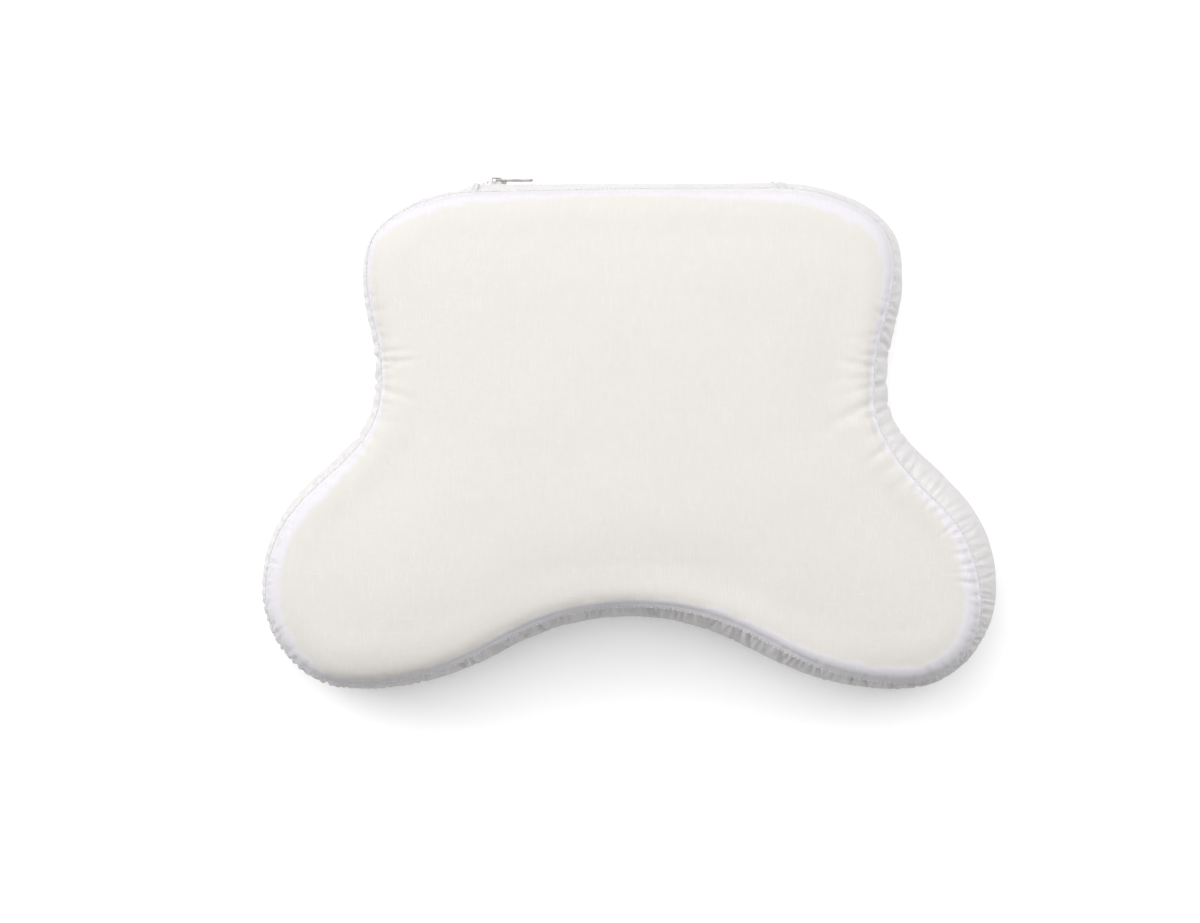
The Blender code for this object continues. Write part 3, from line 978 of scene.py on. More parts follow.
class Board(Tree):
    """The shader tree of one material, round a Principled shader."""

    def __init__(self, name: str, roughness: float, **plain: float) -> None:
        """Starts a material with the values that are the same all over it.

        Args:
            name: The material's name.
            roughness: Its roughness, where nothing else is linked.
            plain: Shader values by socket name, with _ for a space.
        """
        self.material = bpy.data.materials.new(name)
        self.material.use_nodes = True
        super().__init__(self.material.node_tree)
        self.shader = self.tree.nodes["Principled BSDF"]
        self.shader.inputs["Roughness"].default_value = roughness
        for key, value in plain.items():
            self.shader.inputs[key.replace("_", " ")].default_value = value

    def cloth(self) -> Wire:
        """Flat cloth coordinates, in metres."""
        return self.node("ShaderNodeUVMap", {"uv_map": CLOTH_MAP})

    def place(self) -> Wire:
        """Object coordinates, in metres."""
        return self.node("ShaderNodeTexCoord", None, out="Object")

    def split(self, vector: Wire) -> tuple[Wire, Wire]:
        """The first two parts of a vector."""
        first = self.node("ShaderNodeSeparateXYZ", None, vector)
        return first, Wire(self, first.socket.node.outputs[1])

    def cloud(self, vector: Wire, scale: Point, detail: float = 2.0, rough: float = 0.5) -> Wire:
        """Makes soft noise.

        Args:
            vector: Coordinates.
            scale: How many lumps there are in a metre along each axis.
            detail: How many finer layers it has.
            rough: How strong the finer layers are.

        Returns:
            A value from 0 to 1.
        """
        sized = self.node("ShaderNodeMapping", None, vector, Scale=scale)
        return self.node("ShaderNodeTexNoise", None, sized, Scale=1.0, Detail=detail, Roughness=rough)

    def mix(self, share: Wire | float, first: Colour | Wire, second: Colour | Wire) -> Wire:
        """Mixes two colours.

        Args:
            share: 0 for the first colour and 1 for the second.
            first: A colour.
            second: Another.

        Returns:
            The mixed colour.
        """
        low, high = ((*colour, 1.0) if isinstance(colour, tuple) else colour for colour in (first, second))
        return self.node("ShaderNodeMix", {"data_type": "RGBA"}, share, _6=low, _7=high, out=2)

    def finish(
        self, colour: Wire, height: Wire, depth: float, roughness: Wire | None = None
    ) -> bpy.types.Material:
        """Links the colour, the relief and the roughness to the shader.

        Args:
            colour: Colour of the surface.
            height: Relief, from 0 to about 1.
            depth: Metres that a relief of 1 stands for.
            roughness: Roughness, where it varies.

        Returns:
            The finished material.
        """
        bump = self.node("ShaderNodeBump", None, Strength=1.0, Distance=depth, Height=height)
        self.tree.links.new(colour.socket, self.shader.inputs["Base Color"])
        self.tree.links.new(bump.socket, self.shader.inputs["Normal"])
        if roughness:
            self.tree.links.new(roughness.socket, self.shader.inputs["Roughness"])
        return self.material


# ---------------------------------------------------------------- finishes


@dataclass(frozen=True)
class PlainWeave:
    """Cotton in a plain weave, with thick and thin places in its yarn."""

    name: str
    colour: Colour
    shade: Colour  # painted shade between the yarns, and the colour of thin places
    pitch: float
    slub: float
    depth: float
    turned: Colour | None = None  # the colour where turned-in cloth shows through
    turned_light: Colour = (0.63, 0.617, 0.65)

    def material(self) -> bpy.types.Material:
        """Weave, slubs and slight unevenness of colour, with painted shade between the yarns.

        Returns:
            The finished material.
        """
        board = Board(self.name, 0.88, Sheen_Weight=0.12, Sheen_Roughness=0.5, Specular_IOR_Level=0.25)
        cloth = board.cloth()
        across, along = board.split(cloth)
        yarn_across, yarn_along = across.wave(self.pitch), along.wave(self.pitch)
        weave = (abs(yarn_across) + abs(yarn_along)) * 0.35 + yarn_across * yarn_along * 0.3
        slub_along = board.cloud(cloth, (900, 80, 1), 2.0).between(0.50, 0.74)
        slub_across = board.cloud(cloth, (110, 760, 1), 2.0).between(0.54, 0.76)
        slubs = slub_along + slub_across * 0.8
        patches = board.cloud(cloth, (14, 14, 1), 3.0)
        thin = board.cloud(cloth, (420, 60, 1), 3.0)
        # darker where the relief is low: painted shade between the yarns, with real thin places and patches
        light = weave * 0.25 + slubs * (0.42 * self.slub) + thin * 0.25 + patches * 0.2
        colour = board.mix(light.between(0.05, 0.75), self.shade, self.colour)
        if self.turned:
            mark = board.node("ShaderNodeAttribute", {"attribute_name": TURNED_MARK}, out="Fac")
            turned = board.mix(light.between(0.0, 0.6), self.turned, self.turned_light)
            colour = board.mix(mark, colour, turned)
        height = weave * 0.5 + slubs * (0.5 * self.slub)
        return board.finish(colour, height, self.depth)


@dataclass(frozen=True)
class TwistedThread:
    """Sewing thread of two plies."""

    name: str = "sewing_thread"
    colour: Colour = (0.80, 0.80, 0.80)
    # shade: painted shade between the plies
    shade: Colour = (0.62, 0.62, 0.63)
    ply: float = 0.00035

    def material(self) -> bpy.types.Material:
        """Slanting plies with painted shade between them, and a slight gloss.

        Returns:
            The finished material.
        """
        board = Board(self.name, 0.6, Sheen_Weight=0.1, Specular_IOR_Level=0.4)
        place = board.place()
        x, y = board.split(place)
        ply = abs((x + y * 0.7).wave(self.ply))
        fuzz = board.cloud(place, (900, 900, 900), 2.0)
        # darker in the grooves between the plies: painted shade, with random fuzz
        colour = board.mix(ply * 0.7 + fuzz * 0.3, self.shade, self.colour)
        return board.finish(colour, ply, 0.00008)


@dataclass(frozen=True)
class OpenFoam:
    """Moulded foam with a thin skin and fine pores."""

    name: str = "moulded_foam"
    colour: Colour = (0.84, 0.76, 0.56)
    fresh: Colour = (0.88, 0.83, 0.68)
    # the pores' colour is painted shade
    pore: Colour = (0.66, 0.56, 0.36)

    def material(self) -> bpy.types.Material:
        """Pores with painted shade in them, flow marks and yellowing.

        Returns:
            The finished material.
        """
        board = Board(self.name, 0.92, Specular_IOR_Level=0.2)
        place = board.place()
        pores = board.node("ShaderNodeTexVoronoi", None, place, Scale=620.0).between(0.05, 0.42)
        flow = board.cloud(place, (9, 9, 22), 4.0, 0.6)
        aged = board.mix(flow.between(0.35, 0.7), self.colour, self.fresh)
        # painted shade in the pores
        colour = board.mix(pores, self.pore, aged)
        return board.finish(colour, pores * 0.6 + flow * 0.8, 0.0004)


@dataclass(frozen=True)
class StockinetteKnit:
    """Thin jersey, with its rows of V-shaped loops."""

    name: str = "liner_jersey"
    colour: Colour = (0.86, 0.85, 0.81)
    # shade: painted shade between the loops
    shade: Colour = (0.68, 0.66, 0.60)
    wale: float = 0.0016
    course: float = 0.0012

    def material(self) -> bpy.types.Material:
        """Loops that lean both ways in each wale, with painted shade between them.

        Returns:
            The finished material.
        """
        board = Board(self.name, 0.93, Sheen_Weight=0.15, Specular_IOR_Level=0.2)
        cloth = board.cloth()
        across, along = board.split(cloth)
        lean = abs(across.wave(self.wale))
        loops = abs((along + lean * (0.8 * self.course)).wave(self.course))
        height = loops * 0.6 + lean * 0.4
        patches = board.cloud(cloth, (60, 60, 1), 3.0)
        # darker where the loops are low: painted shade, with random patches
        colour = board.mix(height * 0.7 + patches * 0.3, self.shade, self.colour)
        return board.finish(colour, height, 0.0003)


@dataclass(frozen=True)
class TwillTape:
    """Woven zip tape with a slanting rib."""

    name: str = "twill_tape"
    colour: Colour = (0.87, 0.87, 0.87)
    # shade: painted shade between the ribs
    shade: Colour = (0.68, 0.68, 0.69)
    rib: float = 0.0009

    def material(self) -> bpy.types.Material:
        """Ribs one way on one half of the tape, crossed by the weft, with painted shade between the ribs.

        Returns:
            The finished material.
        """
        board = Board(self.name, 0.85, Sheen_Weight=0.08, Specular_IOR_Level=0.3)
        cloth = board.cloth()
        across, along = board.split(cloth)
        ribs = abs((across + along).wave(self.rib))
        weft = abs(across.wave(self.rib * 0.6))
        height = ribs * 0.7 + weft * 0.3
        soil = board.cloud(cloth, (90, 90, 1), 3.0)
        # darker between the ribs: painted shade, with random soil
        colour = board.mix(height * 0.6 + soil * 0.4, self.shade, self.colour)
        return board.finish(colour, height, 0.00022)


@dataclass(frozen=True)
class Nylon:
    """Smooth white nylon filament."""

    name: str = "coil_nylon"
    colour: Colour = (0.70, 0.70, 0.69)
    handled: Colour = (0.62, 0.62, 0.605)

    def material(self) -> bpy.types.Material:
        """Faint drawing lines and handling marks.

        Returns:
            The finished material.
        """
        board = Board(self.name, 0.38, Specular_IOR_Level=0.5)
        place = board.place()
        lines = board.cloud(place, (300, 2600, 2600), 2.0)
        marks = board.cloud(place, (160, 160, 160), 3.0)
        colour = board.mix(marks.between(0.3, 0.7), self.handled, self.colour)
        return board.finish(colour, lines, 0.00003, 0.28 + marks * 0.25)


@dataclass(frozen=True)
class DullNickel:
    """Nickel-plated die-cast zinc, dulled by handling."""

    name: str = "dull_nickel"
    colour: Colour = (0.36, 0.355, 0.35)
    tarnish: Colour = (0.20, 0.19, 0.18)

    def material(self) -> bpy.types.Material:
        """Fine casting grain, tumbling scratches and patches of tarnish.

        Returns:
            The finished material.
        """
        board = Board(self.name, 0.4, Metallic=0.9, Coat_Weight=0.1)
        place = board.place()
        grain = board.cloud(place, (1600, 1600, 1600), 2.0)
        scratches = board.cloud(place, (500, 2600, 4200), 3.0, 0.65).between(0.55, 0.75)
        patches = board.cloud(place, (260, 260, 260), 4.0, 0.6).between(0.42, 0.72)
        colour = board.mix(patches * 0.8, self.colour, self.tarnish)
        roughness = 0.3 + patches * 0.25 + grain * 0.1
        return board.finish(colour, grain * 0.5 - scratches * 0.4, 0.00005, roughness)


# ---------------------------------------------------------------- what repeats


class Recipe(Tree):
    """A Geometry Nodes tree with named sizes, which gives one kind of repeated piece."""

    def __init__(self, name: str, sizes: dict[str, Any]) -> None:
        """Starts the tree with a geometry input, a material input and one input for each size.

        Args:
            name: The tree's name.
            sizes: Names and values of its inputs.
        """
        super().__init__(bpy.data.node_groups.new(name, "GeometryNodeTree"))
        interface = self.tree.interface
        interface.new_socket("Geometry", in_out="OUTPUT", socket_type="NodeSocketGeometry")
        interface.new_socket("Geometry", in_out="INPUT", socket_type="NodeSocketGeometry")
        interface.new_socket("Finish", in_out="INPUT", socket_type="NodeSocketMaterial")
        for key, value in sizes.items():
            kind = "Int" if isinstance(value, int) else "Vector" if isinstance(value, tuple) else "Float"
            interface.new_socket(key, in_out="INPUT", socket_type="NodeSocket" + kind)
        self.sizes = sizes
        self.given = self.tree.nodes.new("NodeGroupInput")

    def size(self, name: str) -> Wire:
        """The wire of a named input."""
        return Wire(self, self.given.outputs[name])

    def end(self, geometry: Wire) -> None:
        """Ends the tree in real, smooth-shaded meshes that wear the finish.

        Args:
            geometry: What the tree has made.
        """
        real = self.node("GeometryNodeRealizeInstances", None, geometry)
        smooth = self.node("GeometryNodeSetShadeSmooth", None, real)
        worn = self.node("GeometryNodeSetMaterial", None, smooth, Material=self.size("Finish"))
        self.tree.links.new(worn.socket, self.tree.nodes.new("NodeGroupOutput").inputs[0])

    def make(self, obj: bpy.types.Object, finish: bpy.types.Material, **sizes: Any) -> bpy.types.Object:
        """Runs the tree on an object and keeps the result as its mesh.

        Args:
            obj: The object whose mesh is the tree's geometry input.
            finish: Material of the result.
            sizes: Sizes that differ from the tree's own.

        Returns:
            The same object with a plain mesh.
        """
        chosen = {**self.sizes, **sizes, "Finish": finish}
        modifier = obj.modifiers.new(self.tree.name, "NODES")
        modifier.node_group = self.tree
        for item in self.tree.interface.items_tree:
            if item.item_type == "SOCKET" and item.in_out == "INPUT" and item.name in chosen:
                modifier[item.identifier] = chosen[item.name]
        return baked(obj)


def stitch_recipe() -> Recipe:
    """Stitches laid end to end along a seam: small capsules that lie along the line.

    Returns:
        The tree, which lays its stitches along the edges it is given.
    """
    recipe = Recipe("Stitches", {"Pitch": 0.0028, "Length": 0.0022, "Radius": 0.00028, "Seed": 4})
    line = recipe.node("GeometryNodeMeshToCurve", None, recipe.size("Geometry"))
    spaced = recipe.node("GeometryNodeResampleCurve", {"mode": "LENGTH"}, line, Length=recipe.size("Pitch"))
    ball = recipe.node("GeometryNodeMeshUVSphere", None, 7, 5, 1.0)
    radius, half = recipe.size("Radius"), recipe.size("Length") * 0.5
    shape = recipe.node("ShaderNodeCombineXYZ", None, radius, radius, half)
    stitch = recipe.node("GeometryNodeTransform", None, ball, Scale=shape)
    way = recipe.node("GeometryNodeInputTangent")
    turn = recipe.node("FunctionNodeAlignRotationToVector", {"axis": "Z"}, Vector=way)
    vary, least, most = {"data_type": "FLOAT_VECTOR"}, (0.85, 0.85, 0.88), (1.1, 1.1, 1.06)
    uneven = recipe.node("FunctionNodeRandomValue", vary, least, most, Seed=recipe.size("Seed"))
    laid = {"Instance": stitch, "Rotation": turn, "Scale": uneven}
    recipe.end(recipe.node("GeometryNodeInstanceOnPoints", None, spaced, **laid))
    return recipe


def coil_recipe() -> Recipe:
    """One side of a coil zip: bent filament teeth in a row, on a straight core cord.

    Returns:
        The tree, which takes every place from its inputs.
    """
    sizes = {"Count": 100, "Start": (0.0, 0.0, 0.0), "Step": (0.0016, 0.0, 0.0), "Root": (0.0, 0.0, 0.0)}
    sizes |= {"Crown": (0.0, 0.0, 0.0), "Tip": (0.0, 0.0, 0.0), "Filament": 0.00036}
    sizes |= {"Cord": 0.0005, "Cord end": (0.1, 0.0, 0.0), "Cord seat": (0.0, 0.0, 0.0)}
    recipe = Recipe("Coil side", sizes)
    through = [recipe.size(name) for name in ("Root", "Crown", "Tip")]
    bend = recipe.node("GeometryNodeCurveQuadraticBezier", None, 6, *through)
    section = recipe.node("GeometryNodeCurvePrimitiveCircle", None, 7, Radius=recipe.size("Filament"))
    tooth = recipe.node("GeometryNodeCurveToMesh", None, bend, section, Fill_Caps=True)
    start, step = recipe.size("Start"), recipe.size("Step")
    row = recipe.node("GeometryNodeMeshLine", None, recipe.size("Count"), None, start, step)
    teeth = recipe.node("GeometryNodeInstanceOnPoints", None, row, Instance=tooth)
    ends = recipe.size("Cord seat"), recipe.size("Cord end")
    line = recipe.node("GeometryNodeMeshLine", {"mode": "END_POINTS"}, 60, None, *ends)
    path = recipe.node("GeometryNodeMeshToCurve", None, line)
    round_cord = recipe.node("GeometryNodeCurvePrimitiveCircle", None, 8, Radius=recipe.size("Cord"))
    cord = recipe.node("GeometryNodeCurveToMesh", None, path, round_cord, Fill_Caps=True)
    recipe.end(recipe.node("GeometryNodeJoinGeometry", None, [teeth, cord]))
    return recipe


# ---------------------------------------------------------------- sub-assemblies


@dataclass
class Cover:
    """The sewn cotton cover: two faces, the gathered side band and the seams."""

    skin: Skin
    cloth: float = 0.0008
    row_step: float = 0.0013
    grain: float = 0.0022  # spacing of the points in the middle of a face
    lap: float = 0.0022  # how far the side band's ends lap over the zip bands
    lap_gap: float = 0.0002
    allowance: Around = Around(8, (16, 11, 3, 4, 11, 17, 16, 10), 7, (15, 6, 2, 12, 15, 17, 4, 8))
    seam_rows: tuple[float, ...] = (0.00025, 0.0008, 0.0014, 0.0021, 0.003, 0.004)  # from a face's seam
    face_rim: tuple[float, float] = (0.0054, 0.024)  # the face's wider rows run from here to here
    calm_seam: tuple[float, float] = (0.0, 0.004)  # unevenness starts and is full this far from a seam
    allowance_rise: float = 0.00035  # how much higher the face stands over turned-in cloth
    stitch_rise: float = 0.00022  # of the stitches' middle above the cloth

    @cached_property
    def cream(self) -> bpy.types.Material:
        """Cotton of the top face, with the turned-in cloth showing through as lavender white."""
        # shade is painted shade between the yarns, and the colour of thin places
        light, shade, turned = (0.61, 0.591, 0.562), (0.575, 0.555, 0.525), (0.585, 0.573, 0.603)
        return PlainWeave("cream_slub_cotton", light, shade, 0.0006, 0.8, 0.00016, turned).material()

    @cached_property
    def white(self) -> bpy.types.Material:
        """Cotton of the side band, the underside and the zip bands."""
        # shade is painted shade between the yarns, and the colour of thin places
        light, shade = (0.66, 0.648, 0.645), (0.59, 0.578, 0.576)
        return PlainWeave("white_cotton", light, shade, 0.00045, 0.45, 0.00015).material()

    @cached_property
    def thread(self) -> bpy.types.Material:
        """Thread of every seam."""
        return TwistedThread().material()

    @cached_property
    def face_gathers(self) -> Gathers:
        """Creases in the cream face, which are deep only at the two waists."""
        outline = self.skin.outline
        left, right = (0.6, 0.5, 1.5, 0.6, 1.2, 1.2, 0.7, 0.4), (0.4, 0.5, 1.6, 0.6, 1.1, 1.2, 0.8, 0.4)
        depth = Around(0.2, right, 0.3, left)
        reach = Around(6, (8, 12, 42, 16, 18, 18, 14, 8), 7, (10, 12, 42, 14, 18, 18, 14, 8))
        spacing = Around(9, (9, 9, 7, 8, 8, 6, 6, 8), 9, (9, 9, 7, 8, 8, 6, 6, 8))
        return Gathers(outline, depth.on(outline), reach.on(outline), spacing.on(outline), 11)

    @cached_property
    def band_gathers(self) -> tuple[Gathers, Gathers]:
        """Creases in the band from its upper and its lower seam."""
        outline = self.skin.outline
        left, right = (0.7, 0.8, 3.0, 1.6, 1.1, 2.0, 2.3, 2.2), (0.7, 0.8, 2.8, 1.4, 1.0, 2.0, 2.4, 2.4)
        depth = Around(0.8, right, 2.6, left)
        reach = Around(22, (22, 24, 90, 40, 34, 60, 60, 50), 40, (22, 24, 90, 34, 34, 60, 60, 44))
        spacing = Around(5, (6, 6, 7.5, 5.5, 6, 4.4, 4.4, 4.4), 4.2, (6, 6, 8.0, 6, 6, 4.4, 4.4, 4.6))
        grids = [size.on(outline) for size in (depth, reach, spacing)]
        return Gathers(outline, *grids, 23), Gathers(outline, *grids, 37)

    def ripple(self, points: Array, size: float, height: float) -> Array:
        """Slow unevenness of cloth over foam."""
        return np.array([noise.noise(Vector(point) / size) for point in points]) * height

    def seam_dip(self, away: Array) -> Array:
        """The fold at a seam: a raised crest on it, and a shallow hollow 3 mm beside it."""
        return 0.0004 * hump(away / 0.0009) - 0.0006 * hump((away - 0.0030) / 0.0020)

    def allowance_step(self, station: Array, away: Array) -> Array:
        """How much turned-in cloth lies under the face.

        Args:
            station: Distances along the outline.
            away: Distances from the face's seam.

        Returns:
            1 over turned-in cloth and 0 past its edge.
        """
        width = self.skin.outline.read(self.allowance_grid, station)
        wander = np.array([noise.noise(Vector((place / 0.011, 0.0, 0.0))) for place in station])
        return 1 - eased(-0.0016, 0.0016, away - width - 0.0024 * wander)

    @cached_property
    def allowance_grid(self) -> Array:
        """Width of the turned-in cloth at each of the outline's points."""
        return self.allowance.on(self.skin.outline)

    def band_lift(self, station: Array, arc: Array) -> Array:
        """Relief of the band: gathers from both seams, seam folds and soft ripples.

        Args:
            station: Distances along the outline.
            arc: Arcs of the section.

        Returns:
            Height of the cloth above the smooth surface.
        """
        upper, lower = self.band_gathers
        from_top = self.skin.seam_arc(Side.TOP, station) - arc
        from_bottom = arc - self.skin.seam_arc(Side.BOTTOM, station)
        lift = upper.lift(station, from_top) + lower.lift(station, from_bottom)
        soft = self.ripple(np.column_stack([station, arc, arc * 0]), 0.014, 0.0005)
        soft *= eased(*self.calm_seam, np.minimum(from_top, from_bottom))
        from_zip = np.abs(np.abs(self.skin.outline.apart(station, self.skin.rear)) - self.skin.zip_reach)
        end_dip = 0.0005 * hump(from_zip / 0.0012)
        return lift + soft + self.seam_dip(from_top) + self.seam_dip(from_bottom) - end_dip

    def face_lift(self, side: Side, station: Array, away: Array, plan: Array) -> Array:
        """Relief of a face: gathers, the step over turned-in cloth, and soft ripples.

        Args:
            side: Which face.
            station: Distances along the outline.
            away: Distances from the face's seam.
            plan: The same points as seen from above.

        Returns:
            Height of the cloth above the smooth surface.
        """
        clear = eased(*self.calm_seam, away)
        lift = self.ripple(np.column_stack([plan, plan[:, 0] * 0]), 0.045, 0.0005) * clear
        lift += self.seam_dip(away)
        lift += self.face_gathers.lift(station, away) * (1.0 if side is Side.TOP else 0.6)
        return lift + self.allowance_rise * self.allowance_step(station, away) * clear

    def face(self, name: str, side: Side, grain: float) -> bpy.types.Object:
        """One face of the cover, from seam to seam.

        Args:
            name: The piece's name.
            side: Which face it is.
            grain: Spacing of its points away from the seam.

        Returns:
            The face as closed cloth.
        """
        skin = self.skin
        count = int(skin.outline.length / (grain * 0.7))
        around = np.linspace(0, skin.outline.length, count, endpoint=False)
        steps = np.concatenate([self.seam_rows, np.arange(*self.face_rim, grain * 0.75)])
        rows = np.abs(skin.seam_arc(side, around)) + steps[:, None]
        station, arc, plan, faces = skin.dome(around, rows, grain)
        away = arc - np.abs(skin.seam_arc(side, station))
        faces = faces if side is Side.TOP else [face[::-1] for face in faces]
        lift = self.face_lift(side, station, away, plan)
        points = skin.surface(station, arc * side.value, lift, plan)
        cloth_map = skin.cloth_map(station, arc, plan)
        marks = self.allowance_step(station, away) * 0.9
        return thickened(make_object(name, points, faces, cloth_map=cloth_map, marks=marks), self.cloth)

    def strip(
        self, name: str, stations: Array, rows: Array, depth: Array | float, cloth: float
    ) -> bpy.types.Object:
        """A strip of cloth along the edge.

        Args:
            name: The piece's name.
            stations: Distances along the outline of its columns.
            rows: Arc of each point, row by row from its lower edge.
            depth: How deep its outer side lies under the cover's surface.
            cloth: Its thickness.

        Returns:
            The strip as closed cloth.
        """
        station = np.tile(stations % self.skin.outline.length, len(rows))
        arc = rows.ravel()
        points = self.skin.surface(station, arc, self.band_lift(station, arc), depth=depth)
        faces = grid_faces(len(rows), len(stations), closed=False)
        cloth_map = np.column_stack([np.tile(stations, len(rows)), arc])
        return thickened(make_object(name, points, faces, cloth_map=cloth_map), cloth)

    def run(self, start: float, end: float, step: float) -> Array:
        """Spaces stations evenly from one place to another.

        Args:
            start: The first station.
            end: The last one.
            step: About how far apart they are.

        Returns:
            The stations, anticlockwise. They may pass the outline's end.
        """
        length = (end - start) % self.skin.outline.length
        return start + np.linspace(0, length, max(2, round(length / step)))

    @staticmethod
    def rows(low: Array, high: Array, step: float) -> Array:
        """Spaces rows between two edges, closer together beside the edges.

        Args:
            low: Arcs of the lower edge.
            high: Arcs of the upper edge.
            step: About how far apart the rows are.

        Returns:
            The arc of each point, row by row.
        """
        count = round(float(np.mean(high - low)) / step)
        share = np.linspace(-1, 1, count)[:, None]
        share = 0.62 * share + 0.38 * np.sin(share * math.pi / 2)
        return low + (high - low) * (share + 1) / 2

    def seam(self, name: str, side: Side, stitches: Recipe, node: str) -> None:
        """Sews the visible stitches on a seam's crest.

        Args:
            name: The piece's name.
            side: Which seam.
            stitches: The tree that makes stitches.
            node: The CAD thread that the piece stands for.
        """
        stations = np.linspace(0, self.skin.outline.length, 900, endpoint=False)
        arc = self.skin.seam_arc(side, stations)
        points = self.skin.surface(stations, arc, self.band_lift(stations, arc) + self.stitch_rise)
        edges = [(i, (i + 1) % len(points)) for i in range(len(points))]
        fit(stitches.make(make_object(name, points, [], edges), self.thread), "cover", "thread", node)

    def turned_cloth(self, name: str, side: Side, node: str) -> None:
        """Lays the seam allowance, turned in under a face.

        Args:
            name: The piece's name.
            side: Which seam.
            node: The CAD node that the piece stands for.
        """
        skin = self.skin
        stations = np.linspace(0, skin.outline.length, 620, endpoint=False)
        seam = np.abs(skin.seam_arc(side, stations))
        fray = np.array([noise.noise(Vector((station / 0.0022, 7.0, 0.0))) for station in stations]) * 0.0004
        start, least = 0.0006, 0.0035
        width = np.maximum(skin.outline.read(self.allowance_grid, stations), least) + fray
        share = np.linspace(0.0, 1.0, 7)[:, None]
        rows = seam + start + (width - start) * share
        station, arc = np.tile(stations, len(share)), rows.ravel()
        away = arc - np.tile(seam, len(share))
        flat, normal = skin.outline.at(station)
        plan = flat - normal * skin.edge.at(arc)[0][:, None]
        lift = self.face_lift(side, station, away, plan)
        under = self.cloth + 0.0004
        points = skin.surface(station, arc * side.value, lift, plan, under)
        faces = np.array(grid_faces(len(share), len(stations), closed=True))
        faces = faces if side is Side.TOP else faces[:, ::-1]
        obj = make_object(name, points, faces.tolist(), cloth_map=np.column_stack([station, arc]))
        obj = thickened(obj, self.cloth)
        obj.data.materials.append(self.white)
        fit(obj, "cover", "white_cotton", node)

    def build(self, stitches: Recipe) -> None:
        """Makes and fits every piece of the cover but the zip.

        Args:
            stitches: The tree that makes stitches.
        """
        skin = self.skin
        top = self.face("top_face", Side.TOP, self.grain)
        bottom = self.face("underside", Side.BOTTOM, self.grain * 1.4)
        left, right = skin.rear + skin.zip_reach, skin.rear - skin.zip_reach
        stations = self.run(left - self.lap, right + self.lap, self.row_step)
        station = stations % skin.outline.length
        low, high = (skin.seam_arc(side, station) for side in (Side.BOTTOM, Side.TOP))
        rows = self.rows(low, high, 0.0023)
        past = np.abs(skin.outline.apart(np.tile(stations, len(rows)), skin.rear)) - skin.zip_reach
        raised = -(self.cloth + self.lap_gap) * (1 - eased(0.0, 0.003, past))
        band = self.strip("side_band", stations, rows, raised, self.cloth)
        for obj, finish, slot, node in (
            (top, self.cream, "cream_cotton", "cover_top_panel"),
            (bottom, self.white, "white_cotton", "cover_bottom_panel"),
            (band, self.white, "white_cotton", "cover_side_band"),
        ):
            obj.data.materials.append(finish)
            fit(obj, "cover", slot, node)
        for side, word in ((Side.TOP, "top"), (Side.BOTTOM, "bottom")):
            self.seam(f"{word}_seam_stitches", side, stitches, f"{word}_seam_thread")
            self.turned_cloth(f"{word}_turned_cloth", side, f"{word}_seam_allowance")


@dataclass
class Filling:
    """What is inside the cover: the foam block, in its two-part knit liner."""

    skin: Skin
    liner_depth: float = 0.0042
    foam_depth: float = 0.0060
    liner_cloth: float = 0.0007
    step: float = 0.0034
    parting_line: float = 0.0005  # height of the line that the mould leaves round the foam
    liner_hem: float = 0.0007  # height of the sewn edge of each liner panel
    edge_rows: tuple[float, ...] = (0.0, 0.0009, 0.0018)  # close rows that carry the line or the hem

    def half(self, side: Side, low: float, depth: float, relief: float) -> tuple[Array, Faces, Array]:
        """Half of a layer, from near the side's middle over one face.

        Args:
            side: Which half it is.
            low: Arc of its edge.
            depth: Depth under the cover's surface.
            relief: Height of the line along its edge.

        Returns:
            Points, faces and cloth coordinates.
        """
        skin = self.skin
        count = round(skin.outline.length / self.step)
        stations = np.linspace(0, skin.outline.length, count, endpoint=False)
        close = [low + row for row in self.edge_rows]
        arcs = np.concatenate([close, np.arange(low + 0.0036, skin.edge.end, self.step)])
        rows = np.repeat(arcs[:, None], len(stations), axis=1)
        station, arc, plan, faces = skin.dome(stations, rows, self.step * 1.15)
        points = skin.surface(station, arc * side.value, 0.0, plan, depth)
        _, normal = skin.outline.at(station)
        points[:, :2] += normal * (relief * hump((arc - low) / self.edge_rows[1]))[:, None]
        faces = faces if side is Side.TOP else [face[::-1] for face in faces]
        return points, faces, np.column_stack([station, arc])

    def build(self) -> None:
        """Makes the foam block and both halves of its liner."""
        halves = [self.half(side, 0.0, self.foam_depth, self.parting_line) for side in Side]
        points = np.concatenate([half[0] for half in halves])
        faces = halves[0][1] + [[index + len(halves[0][0]) for index in face] for face in halves[1][1]]
        foam = welded(make_object("foam_block", points, faces), 0.00002)
        foam.data.materials.append(OpenFoam().material())
        fit(foam, "cover", "foam", "foam_core")
        jersey = StockinetteKnit().material()
        for side, word in ((Side.TOP, "upper"), (Side.BOTTOM, "lower")):
            points, faces, cloth_map = self.half(side, 0.0003, self.liner_depth, self.liner_hem)
            sheet = make_object(f"{word}_liner", points, faces, cloth_map=cloth_map)
            liner = thickened(sheet, self.liner_cloth)
            liner.data.materials.append(jersey)
            fit(liner, "cover", "liner", f"liner_{word}")


